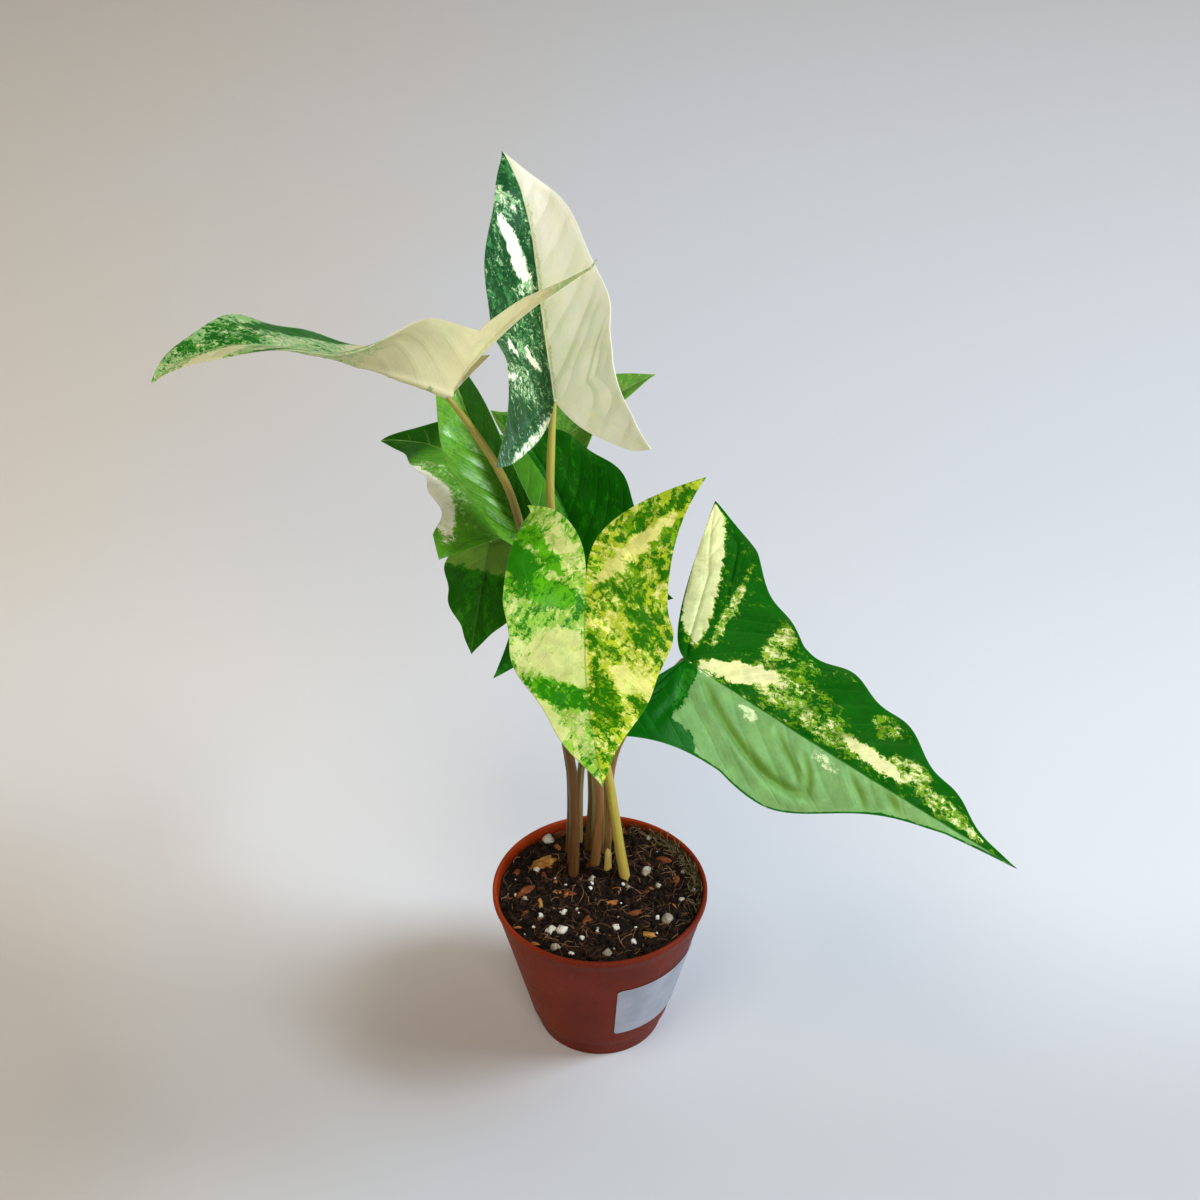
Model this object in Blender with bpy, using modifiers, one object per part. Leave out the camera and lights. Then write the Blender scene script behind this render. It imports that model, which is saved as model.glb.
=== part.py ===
"""A potted arrowhead plant: a tapered nursery pot, its soil, a bare label and nine separate leaves.

Sizes in the tables are millimetres and degrees, and MM turns them into metres for Blender.
The pot's axis is the Z axis, the floor is z = 0, and the front of the plant faces -Y.
"""

import math
import random

import bmesh
import bpy
import numpy as np
from mathutils import Matrix, Vector

MM = 0.001
GAP = 0.3            # clear space between two pieces that touch on the real plant

# Pot
RIM_RADIUS = 32.5
POT_HEIGHT = 53.0
RIM_LIP = 0.5        # how far the rolled lip stands out of the wall
RIM_DEPTH = 2.4      # height of the lip
LIP_INNER = 0.2      # chamfers of the lip's top edges and of its lower edge
LIP_OUTER = 0.3
LIP_SHOULDER = 0.4
LIP_LOWER = 0.3
WALL = 0.8
STEP_RADIUS = 21.4   # wall radius just above the foot
STEP_HEIGHT = 6.5
FOOT_TOP_RADIUS = 20.2
FOOT_RADIUS = 19.2
FOOT_CHAMFER = 0.6   # height of the slope between the step and the foot
FLOOR_THICKNESS = 1.4
POT_STEPS = 64
DRAIN_RADIUS = 2.6
DRAIN_RING = 11.5
DRAIN_COUNT = 5
DRAIN_START = -1.0   # height at which a drain hole's cutter starts

# Soil
SOIL_TOP = 49.8
SOIL_CROWN = 1.4     # how much higher the soil stands around the stems
SOIL_RINGS = 10
SOIL_SPOKES = 36
SOIL_ROUGHNESS = 0.7
LUMP_SHARE = 0.35    # parts of the roughness that lumps and grains take
GRAIN_SHARE = 0.55
LEVEL_RIM = 3.0      # how soon the soil turns level towards the wall
HOLE_DEPTH = 11.0
HOLE_ABOVE = 6.0     # how far a hole's cutter stands out of the soil
HOLE_SIDES = 16

# Label
LABEL_START = -79.5  # degrees round the pot, -90 faces the front
LABEL_END = -14.0
LABEL_BOTTOM = 13.0
LABEL_TOP = 37.0
LABEL_THICKNESS = 0.3
LABEL_COLUMNS = 24
LABEL_ROWS = 2

# Blades
BLADE_THICKNESS = 0.7
BLADE_RIBS = 14      # ribs from the tip to the junction of the blade and its stalk
LOBE_RIBS = 7        # ribs along a basal lobe
RIB_STEPS = 4        # steps from the midrib to the margin
INNER_STEPS = 2      # steps from a lobe's vein to its inner margin
SPINE_STEPS = 120
CURL_WIDTH = 25.0    # a half's curl is its turn in degrees over this width
VEIN_SHARE = 0.45    # where a lobe's vein runs between its inner and outer margins
VEIN_START = 0.4     # part of the lobe over which its vein gets to that place
VEIN_BEND = 0.7
FLARE_REACH = 0.24   # part of the length over which a flare fades
FLARE_BEND = 1.2
SCALLOP_START = 0.25  # part of the length from the tip over which the scallops grow
TIP_SLOPE = 0.11     # least width of a half near the tip, per millimetre from the tip
WAVE_RIB = 7.0       # shorter ribs than this carry less of the margin's wave
WAVE_BEND = 3        # the higher, the closer to the margin the wave stays
WAVE_START = 2.0
FLAT = 1e-6          # smallest bend that counts as one

# Stalks
STALK_BASE = 2.0
STALK_MIDDLE = 1.6   # radius above the swollen base
STALK_TOP = 1.15
STALK_END = 0.55     # radius where the stalk runs into the blade
STALK_DROP = 1.4     # how far below the blade the stalk bends into it
STALK_BACK = 0.6     # how far behind the junction that bend starts
STALK_RUN = 2.0      # how far the stalk runs on along the midrib
SHEATH = 0.3         # part of the stalk that the swollen base takes up
SHEATH_BEND = 1.5
STALK_POINTS = 15
CURVE_STEPS = 24     # steps between two points that a stalk passes

random.seed(7)


def half(width, back, out, fold, lift=0.0, curl=0.0, sinus=4.0, spread=2.2, flare=0.0,
         ripple=(0.0, 1, 0.0), wave=0.5, taper=1.2):
    """One half of a blade.

    width: margin to midrib, back and out: where the basal lobe's tip lies behind and beside the junction,
    fold: how far the half is raised at the lobe, the junction, the middle and the tip, lift: how far the lobe
    bends up, curl: how the half bends across, sinus and spread: how the lobe's inner and outer margins bow,
    flare: extra width at the junction, ripple: height, count and start of the margin's scallops,
    wave: how far the margin goes up and down, taper: how thin the tip is.
    """
    return {
        "width": width, "back": back, "out": out, "fold": fold, "lift": lift, "curl": curl,
        "sinus": sinus, "spread": spread, "flare": flare, "ripple": ripple, "wave": wave, "taper": taper,
    }


# junction: where the blade meets its stalk, heading and turn: the midrib's direction seen from above and
# its change towards the tip, pitch: its slope at the junction, the middle and the tip, roll: how the right
# half tips down, peak: where the blade is widest (part of the length from the tip), stalk: the soil hole,
# then points that the stalk passes, thick: the stalk's thickness against the usual one.
LEAVES = {
    "leaf_front": {
        "junction": (-3.8, -30.4, 181.7), "length": 54, "heading": -92, "turn": 14, "pitch": (-44, -13, -22),
        "roll": (-8, -8), "peak": 0.85,
        "left": half(22.3, 31, 32, (28, 22, 16, 11), lift=-2, curl=-3, ripple=(0.6, 2.5, 0.3)),
        "right": half(22.3, 30, 30, (51, 17, 15, 15), lift=23, curl=5, taper=1.0, ripple=(0.7, 2.5, 0.8)),
        "stalk": ((-1.8, 12.2), (0.0, 8.0, 81), (-2.0, -7, 132), (-3.6, -22, 166)), "thick": 1.0,
    },
    "leaf_right": {
        "junction": (23.0, -19.3, 154.7), "length": 103, "heading": -29, "turn": 5, "pitch": (-21, -20, -21),
        "roll": (23, 27), "peak": 0.64,
        "left": half(20.5, 17, 40, (22, 17, 19, 12), lift=-7, curl=6, sinus=2.0, spread=0.8, flare=13,
                     taper=1.5, ripple=(0.9, 5.0, 0.15)),
        "right": half(21, 10, 33, (3, 20, -1, 12), lift=-2, curl=-16, sinus=1.0, spread=0.8, flare=10,
                      taper=3.8, ripple=(1.3, 2.1, 0.83)),
        "stalk": ((1.8, 17.0), (2.9, 16.6, 80), (4.4, 15.4, 92), (8.0, 8.5, 108), (15.4, -3.5, 130)),
        "thick": 0.95,
    },
    "leaf_top": {
        "junction": (-11.9, 1.8, 223.0), "length": 68, "heading": 100, "turn": 17, "pitch": (38, 68, 16),
        "roll": (-1, -8), "peak": 0.85,
        "left": half(27, 38, 39, (43, 50, 33, 11), lift=13, curl=20, sinus=1.4, spread=1.6, taper=1.15,
                     ripple=(0.7, 3, 0.0)),
        "right": half(26, 40, 37, (43, 46, 36, 13), lift=16, curl=26, sinus=1.2, spread=1.4, taper=1.4,
                      ripple=(0.6, 3, 0.4)),
        "stalk": ((7.9, 5.5), (5.3, 8.0, 67), (2.7, 11.2, 86), (-3.0, 11.5, 118), (-9.6, 4.0, 155),
                  (-13.0, -3.0, 195)),
        "thick": 1.0,
    },
    "leaf_left": {
        "junction": (-36.4, -19.8, 236.7), "length": 78, "heading": 190, "turn": 15, "pitch": (30, 23, -33),
        "roll": (48, -8), "peak": 0.80,
        "left": half(18, 43, 40, (46, 66, 7, 7), lift=44, curl=-2, sinus=0.5, spread=0.7,
                     ripple=(0.5, 2.5, 0.5)),
        "right": half(20, 14, 25, (66, 40, 8, 24), lift=10, curl=10, sinus=0.8, spread=0.8, taper=0.9,
                      ripple=(0.9, 3.5, 0.1)),
        "stalk": ((-8.2, 7.3), (-7.7, 6.8, 81), (-9.6, 4.6, 106), (-20.6, -16.0, 196), (-29.0, -19.5, 222)),
        "thick": 0.95,
    },
    "leaf_left_back": {
        "junction": (-23.3, 11.1, 174.9), "length": 62, "heading": 106, "turn": 54, "pitch": (24, 2, -16),
        "roll": (0, -14), "peak": 0.80,
        "left": half(19, 8, 24, (19, 16, 17, 10), lift=4, curl=-5, sinus=1.0, spread=0.7, flare=4,
                     taper=1.0,
                     ripple=(1.0, 3, 0.2)),
        "right": half(14, 4, 9, (0, 5, 20, 14), lift=-10, curl=-3, sinus=1.0, spread=0.8, taper=0.85,
                      ripple=(0.4, 3, 0.5)),
        "stalk": ((-9.2, 18.0), (-9.0, 18.6, 80), (-12.5, 16.0, 138), (-17.5, 9.5, 162)), "thick": 0.85,
    },
    "leaf_glossy": {
        "junction": (-19.8, 4.5, 181.0), "length": 64, "heading": 130, "turn": -20, "pitch": (39, 35, 53),
        "roll": (-21, -16), "peak": 0.85,
        "left": half(14, 5, 9, (65, 46, 23, 14), lift=13, curl=7, sinus=2.0, spread=1.5,
                     ripple=(0.4, 2, 0.0)),
        "right": half(10.5, 4, 7, (48, 71, 47, 10), lift=2, curl=23, sinus=2.0, spread=1.5,
                      ripple=(0.3, 2, 0.5)),
        "stalk": ((-3.4, 18.8), (-2.6, 19.6, 80), (-7.5, 13.0, 140), (-15.0, 6.5, 168)), "thick": 0.85,
    },
    "leaf_hanging": {
        "junction": (-31.0, 24.0, 162.0), "length": 32, "heading": 248, "turn": 0, "pitch": (-55, -62, -68),
        "roll": (0, 0), "peak": 0.75,
        "left": half(15, 8, 13, (12, 12, 12, 8), sinus=2.0, spread=1.0, ripple=(0.5, 2.5, 0.2)),
        "right": half(11, 8, 10, (12, 12, 12, 8), sinus=2.0, spread=1.0, ripple=(0.7, 3, 0.0)),
        "stalk": ((-8.6, 12.4), (-8.6, 12.8, 82), (-16.0, 15.0, 132), (-27.5, 21.0, 158.5)), "thick": 0.75,
    },
    "leaf_dark": {
        "junction": (-6.1, 34.7, 149.3), "length": 50, "heading": 109, "turn": 31, "pitch": (53, 34, 28),
        "roll": (-8, -23), "peak": 0.85,
        "left": half(21, 29, 31, (7, 20, 9, 11), lift=-11, curl=-11, sinus=3.0, spread=2.0,
                     ripple=(0.5, 3, 0.0)),
        "right": half(21, 25, 26, (29, 23, 23, 14), lift=33, curl=8, sinus=3.0, spread=2.0,
                      ripple=(0.7, 3, 0.3)),
        "stalk": ((-7.0, 22.6), (-6.2, 23.4, 74), (-4.6, 25.0, 92), (-3.8, 30.0, 136)), "thick": 0.85,
    },
    "leaf_small": {
        "junction": (-16.8, 83.1, 156.2), "length": 41, "heading": 19, "turn": -4, "pitch": (26, 37, 17),
        "roll": (29, 9), "peak": 0.85,
        "left": half(16, 14, 19, (33, 44, 35, 14), lift=40, curl=15, sinus=2.5, spread=1.2,
                     ripple=(0.4, 2, 0.0)),
        "right": half(16, 15, 17, (52, 20, 38, 10), lift=40, curl=10, sinus=2.5, spread=1.2,
                      ripple=(0.4, 2, 0.4)),
        "stalk": ((2.6, 23.4), (1.6, 25.0, 74), (-1.0, 38.0, 106), (-12.0, 71.0, 146)), "thick": 0.75,
    },
}

# A cut-off stalk sheath beside the stems
STUB_HOLE = (2.2, 9.3)
STUB_RADIUS = 1.1
STUB_HEIGHT = 11.0
STUB_LEAN = (0.4, -0.6)
STUB_TAPER = (1.0, 1.0, 0.8, 0.35)   # part of the radius in the hole, at the soil, halfway and at the end

# Colour, roughness and metallic of each material
LOOKS = {
    "pot_plastic": ((0.27, 0.052, 0.022), 0.42, 0.0),
    "soil": ((0.022, 0.014, 0.010), 0.95, 0.0),
    "label_paper": ((0.80, 0.80, 0.82), 0.45, 0.0),
    "leaf_lime": ((0.42, 0.56, 0.10), 0.38, 0.0),
    "leaf_green_cream": ((0.05, 0.20, 0.05), 0.34, 0.0),
    "leaf_cream": ((0.70, 0.70, 0.45), 0.40, 0.0),
    "leaf_mid_green": ((0.07, 0.27, 0.04), 0.34, 0.0),
    "leaf_dark_green": ((0.012, 0.075, 0.012), 0.36, 0.0),
    "sheath": ((0.55, 0.42, 0.16), 0.5, 0.0),
}
LEAF_LOOK = {
    "leaf_front": "leaf_lime", "leaf_right": "leaf_green_cream", "leaf_top": "leaf_cream",
    "leaf_left": "leaf_cream", "leaf_left_back": "leaf_mid_green", "leaf_glossy": "leaf_mid_green",
    "leaf_hanging": "leaf_dark_green", "leaf_dark": "leaf_dark_green", "leaf_small": "leaf_mid_green",
}


def clear_scene():
    for item in list(bpy.data.objects):
        bpy.data.objects.remove(item, do_unlink=True)


def new_collection(name):
    found = bpy.data.collections.new(name)
    bpy.context.scene.collection.children.link(found)
    return found


def material(name):
    if name in bpy.data.materials:
        return bpy.data.materials[name]
    colour, roughness, metallic = LOOKS[name]
    look = bpy.data.materials.new(name)
    look.use_nodes = True
    shader = look.node_tree.nodes["Principled BSDF"]
    shader.inputs["Base Color"].default_value = (*colour, 1.0)
    shader.inputs["Roughness"].default_value = roughness
    shader.inputs["Metallic"].default_value = metallic
    look.diffuse_color = (*colour, 1.0)
    return look


def new_object(name, vertices, faces, where, look=None):
    mesh = bpy.data.meshes.new(name)
    mesh.from_pydata([tuple(float(c) * MM for c in v) for v in vertices], [], faces)
    mesh.update()
    item = bpy.data.objects.new(name, mesh)
    where.objects.link(item)
    if look:
        mesh.materials.append(material(look))
    return item


def face_outwards(item):
    work = bmesh.new()
    work.from_mesh(item.data)
    bmesh.ops.recalc_face_normals(work, faces=work.faces)
    work.to_mesh(item.data)
    work.free()


def apply_modifiers(item):
    """Gives the object the mesh that its modifiers make."""
    graph = bpy.context.evaluated_depsgraph_get()
    made = bpy.data.meshes.new_from_object(item.evaluated_get(graph))
    item.modifiers.clear()
    old = item.data
    item.data = made
    bpy.data.meshes.remove(old)


def cutter(item):
    item.hide_render = True
    item.display_type = "WIRE"
    return item


def cut(item, tool, operation="DIFFERENCE"):
    step = item.modifiers.new("cut", "BOOLEAN")
    step.operation = operation
    step.solver = "EXACT"
    step.object = tool


# Curves through a few values

def smooth(knots, values, x):
    """A curve through the values at the knots that doesn't overshoot between them."""
    k = np.asarray(knots, float)
    v = np.asarray(values, float)
    gaps = np.diff(k)
    slopes = np.diff(v) / gaps
    tangent = np.zeros(len(k))
    tangent[0], tangent[-1] = slopes[0], slopes[-1]
    for i in range(1, len(k) - 1):
        before, after = slopes[i - 1], slopes[i]
        if before * after > 0:
            a = 2 * gaps[i] + gaps[i - 1]
            b = gaps[i] + 2 * gaps[i - 1]
            tangent[i] = (a + b) / (a / before + b / after)
    x = np.clip(x, k[0], k[-1])
    i = np.clip(np.searchsorted(k, x, side="right") - 1, 0, len(gaps) - 1)
    u = (x - k[i]) / gaps[i]
    w = 1 - u
    return (v[i] * (1 + 2 * u) * w * w + tangent[i] * gaps[i] * u * w * w
            + v[i + 1] * u * u * (3 - 2 * u) - tangent[i + 1] * gaps[i] * u * u * w)


def through(points, count):
    """Evenly spaced points on a smooth curve through a few points in space."""
    p = np.asarray(points, float)
    p = np.vstack([2 * p[0] - p[1], p, 2 * p[-1] - p[-2]])
    dense = []
    for i in range(1, len(p) - 2):
        for u in np.linspace(0, 1, CURVE_STEPS, endpoint=False):
            a, b, c, d = p[i - 1], p[i], p[i + 1], p[i + 2]
            dense.append(0.5 * (2 * b + (c - a) * u + (2 * a - 5 * b + 4 * c - d) * u * u
                                + (3 * b - a - 3 * c + d) * u ** 3))
    dense.append(p[-2])
    dense = np.array(dense)
    run = np.concatenate([[0], np.cumsum(np.linalg.norm(np.diff(dense, axis=0), axis=1))])
    want = np.linspace(0, run[-1], count)
    return np.stack([np.interp(want, run, dense[:, j]) for j in range(3)], -1)


# Leaf blades

def spine(leaf, s):
    """Point, direction, upward normal and right-hand side of the midrib at distances s from its start."""
    length = leaf["length"]
    q = np.linspace(0, 1, SPINE_STEPS + 1)
    yaw = np.radians(leaf["heading"] + leaf["turn"] * q)
    pitch = np.radians(smooth([0, 0.5, 1], leaf["pitch"], q))
    roll = np.radians(smooth([0, 1], leaf["roll"], q))
    along = np.stack([np.cos(pitch) * np.cos(yaw), np.cos(pitch) * np.sin(yaw), np.sin(pitch)], -1)
    level = np.stack([np.sin(yaw), -np.cos(yaw), 0 * yaw], -1)
    top = np.cross(level, along)
    side = level * np.cos(roll)[:, None] - top * np.sin(roll)[:, None]
    up = level * np.sin(roll)[:, None] + top * np.cos(roll)[:, None]
    place = np.zeros_like(along)
    place[1:] = np.cumsum((along[1:] + along[:-1]) / 2 * (length / SPINE_STEPS), 0)
    place += np.array(leaf["junction"])
    x = np.clip(np.asarray(s, float) / length, 0, 1)
    return [np.stack([np.interp(x, q, a[:, j]) for j in range(3)], -1) for a in (place, along, up, side)]


def blade_point(leaf, hand, s, t, sway):
    """Points of one half (hand -1 left, +1 right) at flat distances s along and t across.

    sway is the part of the margin's wave that each point follows.
    """
    part = leaf["left" if hand < 0 else "right"]
    s = np.asarray(s, float)
    t = np.asarray(t, float)
    place, along, up, side = spine(leaf, np.maximum(s, 0))
    reach = 0.5 * leaf["length"]
    bend = math.radians(part["lift"]) / reach
    bend = bend if abs(bend) > FLAT else FLAT
    turned = bend * np.maximum(-s, 0)
    place = place - along * (np.sin(turned) / bend)[..., None]
    place = place + up * ((1 - np.cos(turned)) / bend)[..., None]
    up = up * np.cos(turned)[..., None] + along * np.sin(turned)[..., None]
    raised = np.radians(smooth([-reach, 0, reach, leaf["length"]], part["fold"], s))
    curl = math.radians(part["curl"]) / CURL_WIDTH
    curl = curl if abs(curl) > FLAT else FLAT
    x = (np.sin(raised + curl * t) - np.sin(raised)) / curl
    z = (np.cos(raised) - np.cos(raised + curl * t)) / curl
    beat = 2 * math.pi * part["ripple"][1]
    z = z + part["wave"] * sway * np.sin(beat * (1 - s / leaf["length"]) + WAVE_START)
    return place + hand * side * x[..., None] + up * z[..., None]


def half_outline(leaf, hand, blade_ribs, lobe_ribs):
    """Flat roots and margin ends of a half's ribs: blade, outer lobe and inner lobe."""
    part = leaf["left" if hand < 0 else "right"]
    length = leaf["length"]
    high, count, start = part["ripple"]

    def scallop(q):
        grown = np.clip(q / SCALLOP_START, 0, 1)
        return high * np.sin(2 * math.pi * (count * q + start)) * grown

    q = np.linspace(0, 1, blade_ribs)
    profile = np.sin(np.pi / 2 * np.minimum(1, q / leaf["peak"])) ** part["taper"]
    s = length * (1 - q)
    flare = part["flare"] * np.clip(1 - s / (FLARE_REACH * length), 0, 1) ** FLARE_BEND
    t = part["width"] * profile + flare + scallop(q)
    t = np.maximum(t, TIP_SLOPE * length * q)
    blade = (np.stack([s, 0 * s], -1), np.stack([s, t], -1))

    q = np.linspace(0, 1, lobe_ribs)
    back, out = part["back"], part["out"]
    wide = t[-1]
    outer = np.stack([-back * q, wide + (out - wide) * q ** part["spread"]], -1)
    bow = math.sqrt(part["sinus"])
    inner = np.stack([-back * q ** (1 / bow), out * q ** bow], -1)
    tip = np.array([-back, out])
    share = (VEIN_SHARE * np.minimum(1, q / VEIN_START) ** VEIN_BEND)[:, None]
    vein = inner * (1 - share) + outer * share
    vein[-1] = tip
    outer[-1] = tip
    inner[-1] = tip
    return blade, (vein, outer), (vein, inner)


def rib_patch(roots, ends, steps):
    """Flat points between the ribs' roots and ends, and the part of the margin's wave at each."""
    w = np.linspace(0, 1, steps + 1)
    flat = roots[:, None] + (ends - roots)[:, None] * w[None, :, None]
    rib = np.linalg.norm(ends - roots, axis=1)
    return flat, np.minimum(1, rib / WAVE_RIB)[:, None] * w ** WAVE_BEND


def blade_surface(leaf):
    """Vertices and triangles of a blade without thickness."""
    places = []
    index = {}
    triangles = []
    for hand in (-1, 1):
        patches = half_outline(leaf, hand, BLADE_RIBS, LOBE_RIBS)
        for number, (roots, ends) in enumerate(patches):
            across = INNER_STEPS if number == 2 else RIB_STEPS
            flat, sway = rib_patch(roots, ends, across)
            space = blade_point(leaf, hand, flat[..., 0], flat[..., 1], sway)
            ids = np.zeros(flat.shape[:2], int)
            for i in range(flat.shape[0]):
                for j in range(flat.shape[1]):
                    key = (round(flat[i, j, 0], 3), round(hand * flat[i, j, 1], 3))
                    if key not in index:
                        index[key] = len(places)
                        places.append(space[i, j])
                    ids[i, j] = index[key]
            for i in range(ids.shape[0] - 1):
                for j in range(ids.shape[1] - 1):
                    a, b, c, d = ids[i, j], ids[i, j + 1], ids[i + 1, j + 1], ids[i + 1, j]
                    turn = hand if number < 2 else -hand
                    for tri in ((a, b, c), (a, c, d)):
                        if len(set(tri)) == 3:
                            triangles.append(tri if turn > 0 else tri[::-1])
    return np.array(places), triangles


def thicken(places, triangles, thickness):
    """A closed skin of even thickness round a surface, with the same triangles on both sides."""
    normal = np.zeros_like(places)
    for a, b, c in triangles:
        n = np.cross(places[b] - places[a], places[c] - places[a])
        for v in (a, b, c):
            normal[v] += n
    normal /= np.linalg.norm(normal, axis=1)[:, None]
    count = len(places)
    vertices = np.vstack([places + normal * thickness / 2, places - normal * thickness / 2])
    faces = [tuple(t) for t in triangles]
    faces += [(a + count, c + count, b + count) for a, b, c in triangles]
    edges = {}
    for a, b, c in triangles:
        for edge in ((a, b), (b, c), (c, a)):
            edges[edge] = edges.get(edge, 0) + 1
    for a, b in edges:
        if (b, a) not in edges:
            faces.append((b, a, a + count))
            faces.append((b, a + count, b + count))
    return vertices, faces


# Stalks

def stalk_points(leaf):
    """The stalk's centre line from the bottom of its hole to the underside of the blade."""
    foot_x, foot_y = leaf["stalk"][0]
    passed = [np.array(p, float) for p in leaf["stalk"][1:]]
    place, along, up, side = (a[0] for a in spine(leaf, [0.0]))
    rise = passed[0] - np.array([foot_x, foot_y, SOIL_TOP])
    rise /= np.linalg.norm(rise)
    foot = np.array([foot_x, foot_y, SOIL_TOP])
    bottom = foot - rise * ((HOLE_DEPTH - GAP) / rise[2])
    entry = place - up * STALK_DROP - along * STALK_BACK
    inside = place - up * BLADE_THICKNESS / 2 + along * STALK_RUN
    body = through([foot, *passed, entry], STALK_POINTS)
    return np.vstack([bottom, body, inside]), rise


def stalk_radius(leaf, count):
    q = np.linspace(0, 1, count)
    swell = np.clip(1 - q / SHEATH, 0, 1) ** SHEATH_BEND
    body = STALK_TOP + (STALK_MIDDLE - STALK_TOP) * (1 - q)
    body = leaf["thick"] * body + (STALK_BASE - leaf["thick"] * STALK_MIDDLE) * swell
    body[-1] = STALK_END
    body[-2] = 0.5 * (STALK_END + leaf["thick"] * STALK_TOP)
    return body


def tube(name, points, radii, where, look):
    """A capped tube along the points, as a mesh."""
    curve = bpy.data.curves.new(name, "CURVE")
    curve.dimensions = "3D"
    curve.bevel_depth = MM
    curve.bevel_resolution = 2
    curve.use_fill_caps = True
    line = curve.splines.new("POLY")
    line.points.add(len(points) - 1)
    for point, place, radius in zip(line.points, points, radii):
        point.co = (*(float(c) * MM for c in place), 1.0)
        point.radius = float(radius)
    drawn = bpy.data.objects.new(name + "_curve", curve)
    where.objects.link(drawn)
    graph = bpy.context.evaluated_depsgraph_get()
    mesh = bpy.data.meshes.new_from_object(drawn.evaluated_get(graph))
    bpy.data.objects.remove(drawn, do_unlink=True)
    work = bmesh.new()
    work.from_mesh(mesh)
    bmesh.ops.remove_doubles(work, verts=work.verts, dist=1e-6)
    bmesh.ops.recalc_face_normals(work, faces=work.faces)
    work.to_mesh(mesh)
    work.free()
    mesh.materials.clear()
    mesh.materials.append(material(look))
    item = bpy.data.objects.new(name, mesh)
    where.objects.link(item)
    return item


def lean(direction):
    """A turn that brings the Z axis onto a direction."""
    aim = Vector([float(c) for c in direction])
    return Vector((0, 0, 1)).rotation_difference(aim).to_matrix().to_4x4()


def hole_cutter(name, foot, direction, radius, depth, where):
    """A plain round cutter that stands in the soil along a stalk."""
    work = bmesh.new()
    bmesh.ops.create_cone(work, cap_ends=True, segments=HOLE_SIDES, radius1=radius * MM,
                          radius2=radius * MM, depth=(depth + HOLE_ABOVE) * MM)
    mesh = bpy.data.meshes.new(name)
    work.to_mesh(mesh)
    work.free()
    item = bpy.data.objects.new(name, mesh)
    where.objects.link(item)
    middle = np.array(foot, float) + np.array(direction, float) * (HOLE_ABOVE - depth) / 2
    item.matrix_world = Matrix.Translation([float(c) * MM for c in middle]) @ lean(direction)
    return cutter(item)


def build_leaf(name, parts, tools):
    leaf = LEAVES[name]
    look = LEAF_LOOK[name]
    vertices, faces = thicken(*blade_surface(leaf), BLADE_THICKNESS)
    blade = new_object(name, vertices, faces, parts, look)
    points, rise = stalk_points(leaf)
    stalk = tube(name + "_stalk", points, stalk_radius(leaf, len(points)), tools, look)
    cut(blade, stalk, "UNION")
    apply_modifiers(blade)
    bpy.data.objects.remove(stalk, do_unlink=True)
    face_outwards(blade)
    foot = np.array([*leaf["stalk"][0], SOIL_TOP])
    hole_cutter(name + "_hole", foot, rise, STALK_BASE + GAP, HOLE_DEPTH / rise[2], tools)
    return blade


# Pot, soil and label

def wall_radius(z):
    """Outer radius of the pot's wall at a height above the foot."""
    top = RIM_RADIUS - RIM_LIP
    return STEP_RADIUS + (top - STEP_RADIUS) * (z - STEP_HEIGHT) / (POT_HEIGHT - RIM_DEPTH - STEP_HEIGHT)


def spun(name, profile, steps, parts, look):
    """A solid of revolution about Z from (radius, height) points that start and end on the axis."""
    mesh = bpy.data.meshes.new(name)
    links = [(i, i + 1) for i in range(len(profile) - 1)]
    mesh.from_pydata([(r * MM, 0.0, z * MM) for r, z in profile], links, [])
    item = bpy.data.objects.new(name, mesh)
    parts.objects.link(item)
    turn = item.modifiers.new("spin", "SCREW")
    turn.axis = "Z"
    turn.steps = steps
    turn.render_steps = steps
    turn.use_merge_vertices = True
    turn.merge_threshold = 0.00001
    turn.use_normal_calculate = True
    mesh.materials.append(material(look))
    return item


def build_pot(parts, tools):
    top = RIM_RADIUS - RIM_LIP
    inner_top = top - WALL
    profile = [
        (0.0, FLOOR_THICKNESS),
        (FOOT_RADIUS - WALL, FLOOR_THICKNESS),
        (STEP_RADIUS - WALL, STEP_HEIGHT),
        (inner_top, POT_HEIGHT - LIP_SHOULDER),
        (inner_top + LIP_INNER, POT_HEIGHT),
        (RIM_RADIUS - LIP_OUTER, POT_HEIGHT),
        (RIM_RADIUS, POT_HEIGHT - LIP_SHOULDER),
        (RIM_RADIUS, POT_HEIGHT - RIM_DEPTH + LIP_LOWER),
        (top, POT_HEIGHT - RIM_DEPTH),
        (STEP_RADIUS, STEP_HEIGHT),
        (FOOT_TOP_RADIUS, STEP_HEIGHT - FOOT_CHAMFER),
        (FOOT_RADIUS, 0.0),
        (0.0, 0.0),
    ]
    pot = spun("pot", profile, POT_STEPS, parts, "pot_plastic")
    for number in range(DRAIN_COUNT):
        angle = 2 * math.pi * number / DRAIN_COUNT
        place = (DRAIN_RING * math.cos(angle), DRAIN_RING * math.sin(angle), DRAIN_START)
        hole = hole_cutter("drain_%d" % number, place, (0, 0, 1), DRAIN_RADIUS, 0.0, tools)
        cut(pot, hole)
    apply_modifiers(pot)
    face_outwards(pot)
    return pot


def soil_height(x, y):
    """Height of the rough soil surface."""
    reach = math.hypot(x, y) / (RIM_RADIUS - RIM_LIP - WALL)
    crown = SOIL_CROWN * (1 - reach * reach)
    lumps = math.sin(0.55 * x + 1.3) * math.sin(0.47 * y + 0.4) + 0.6 * math.sin(0.9 * x - 0.7 * y)
    rough = SOIL_ROUGHNESS * (LUMP_SHARE * lumps + GRAIN_SHARE * random.uniform(-1, 1))
    return SOIL_TOP + crown + rough * min(1.0, LEVEL_RIM * (1 - reach))


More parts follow.
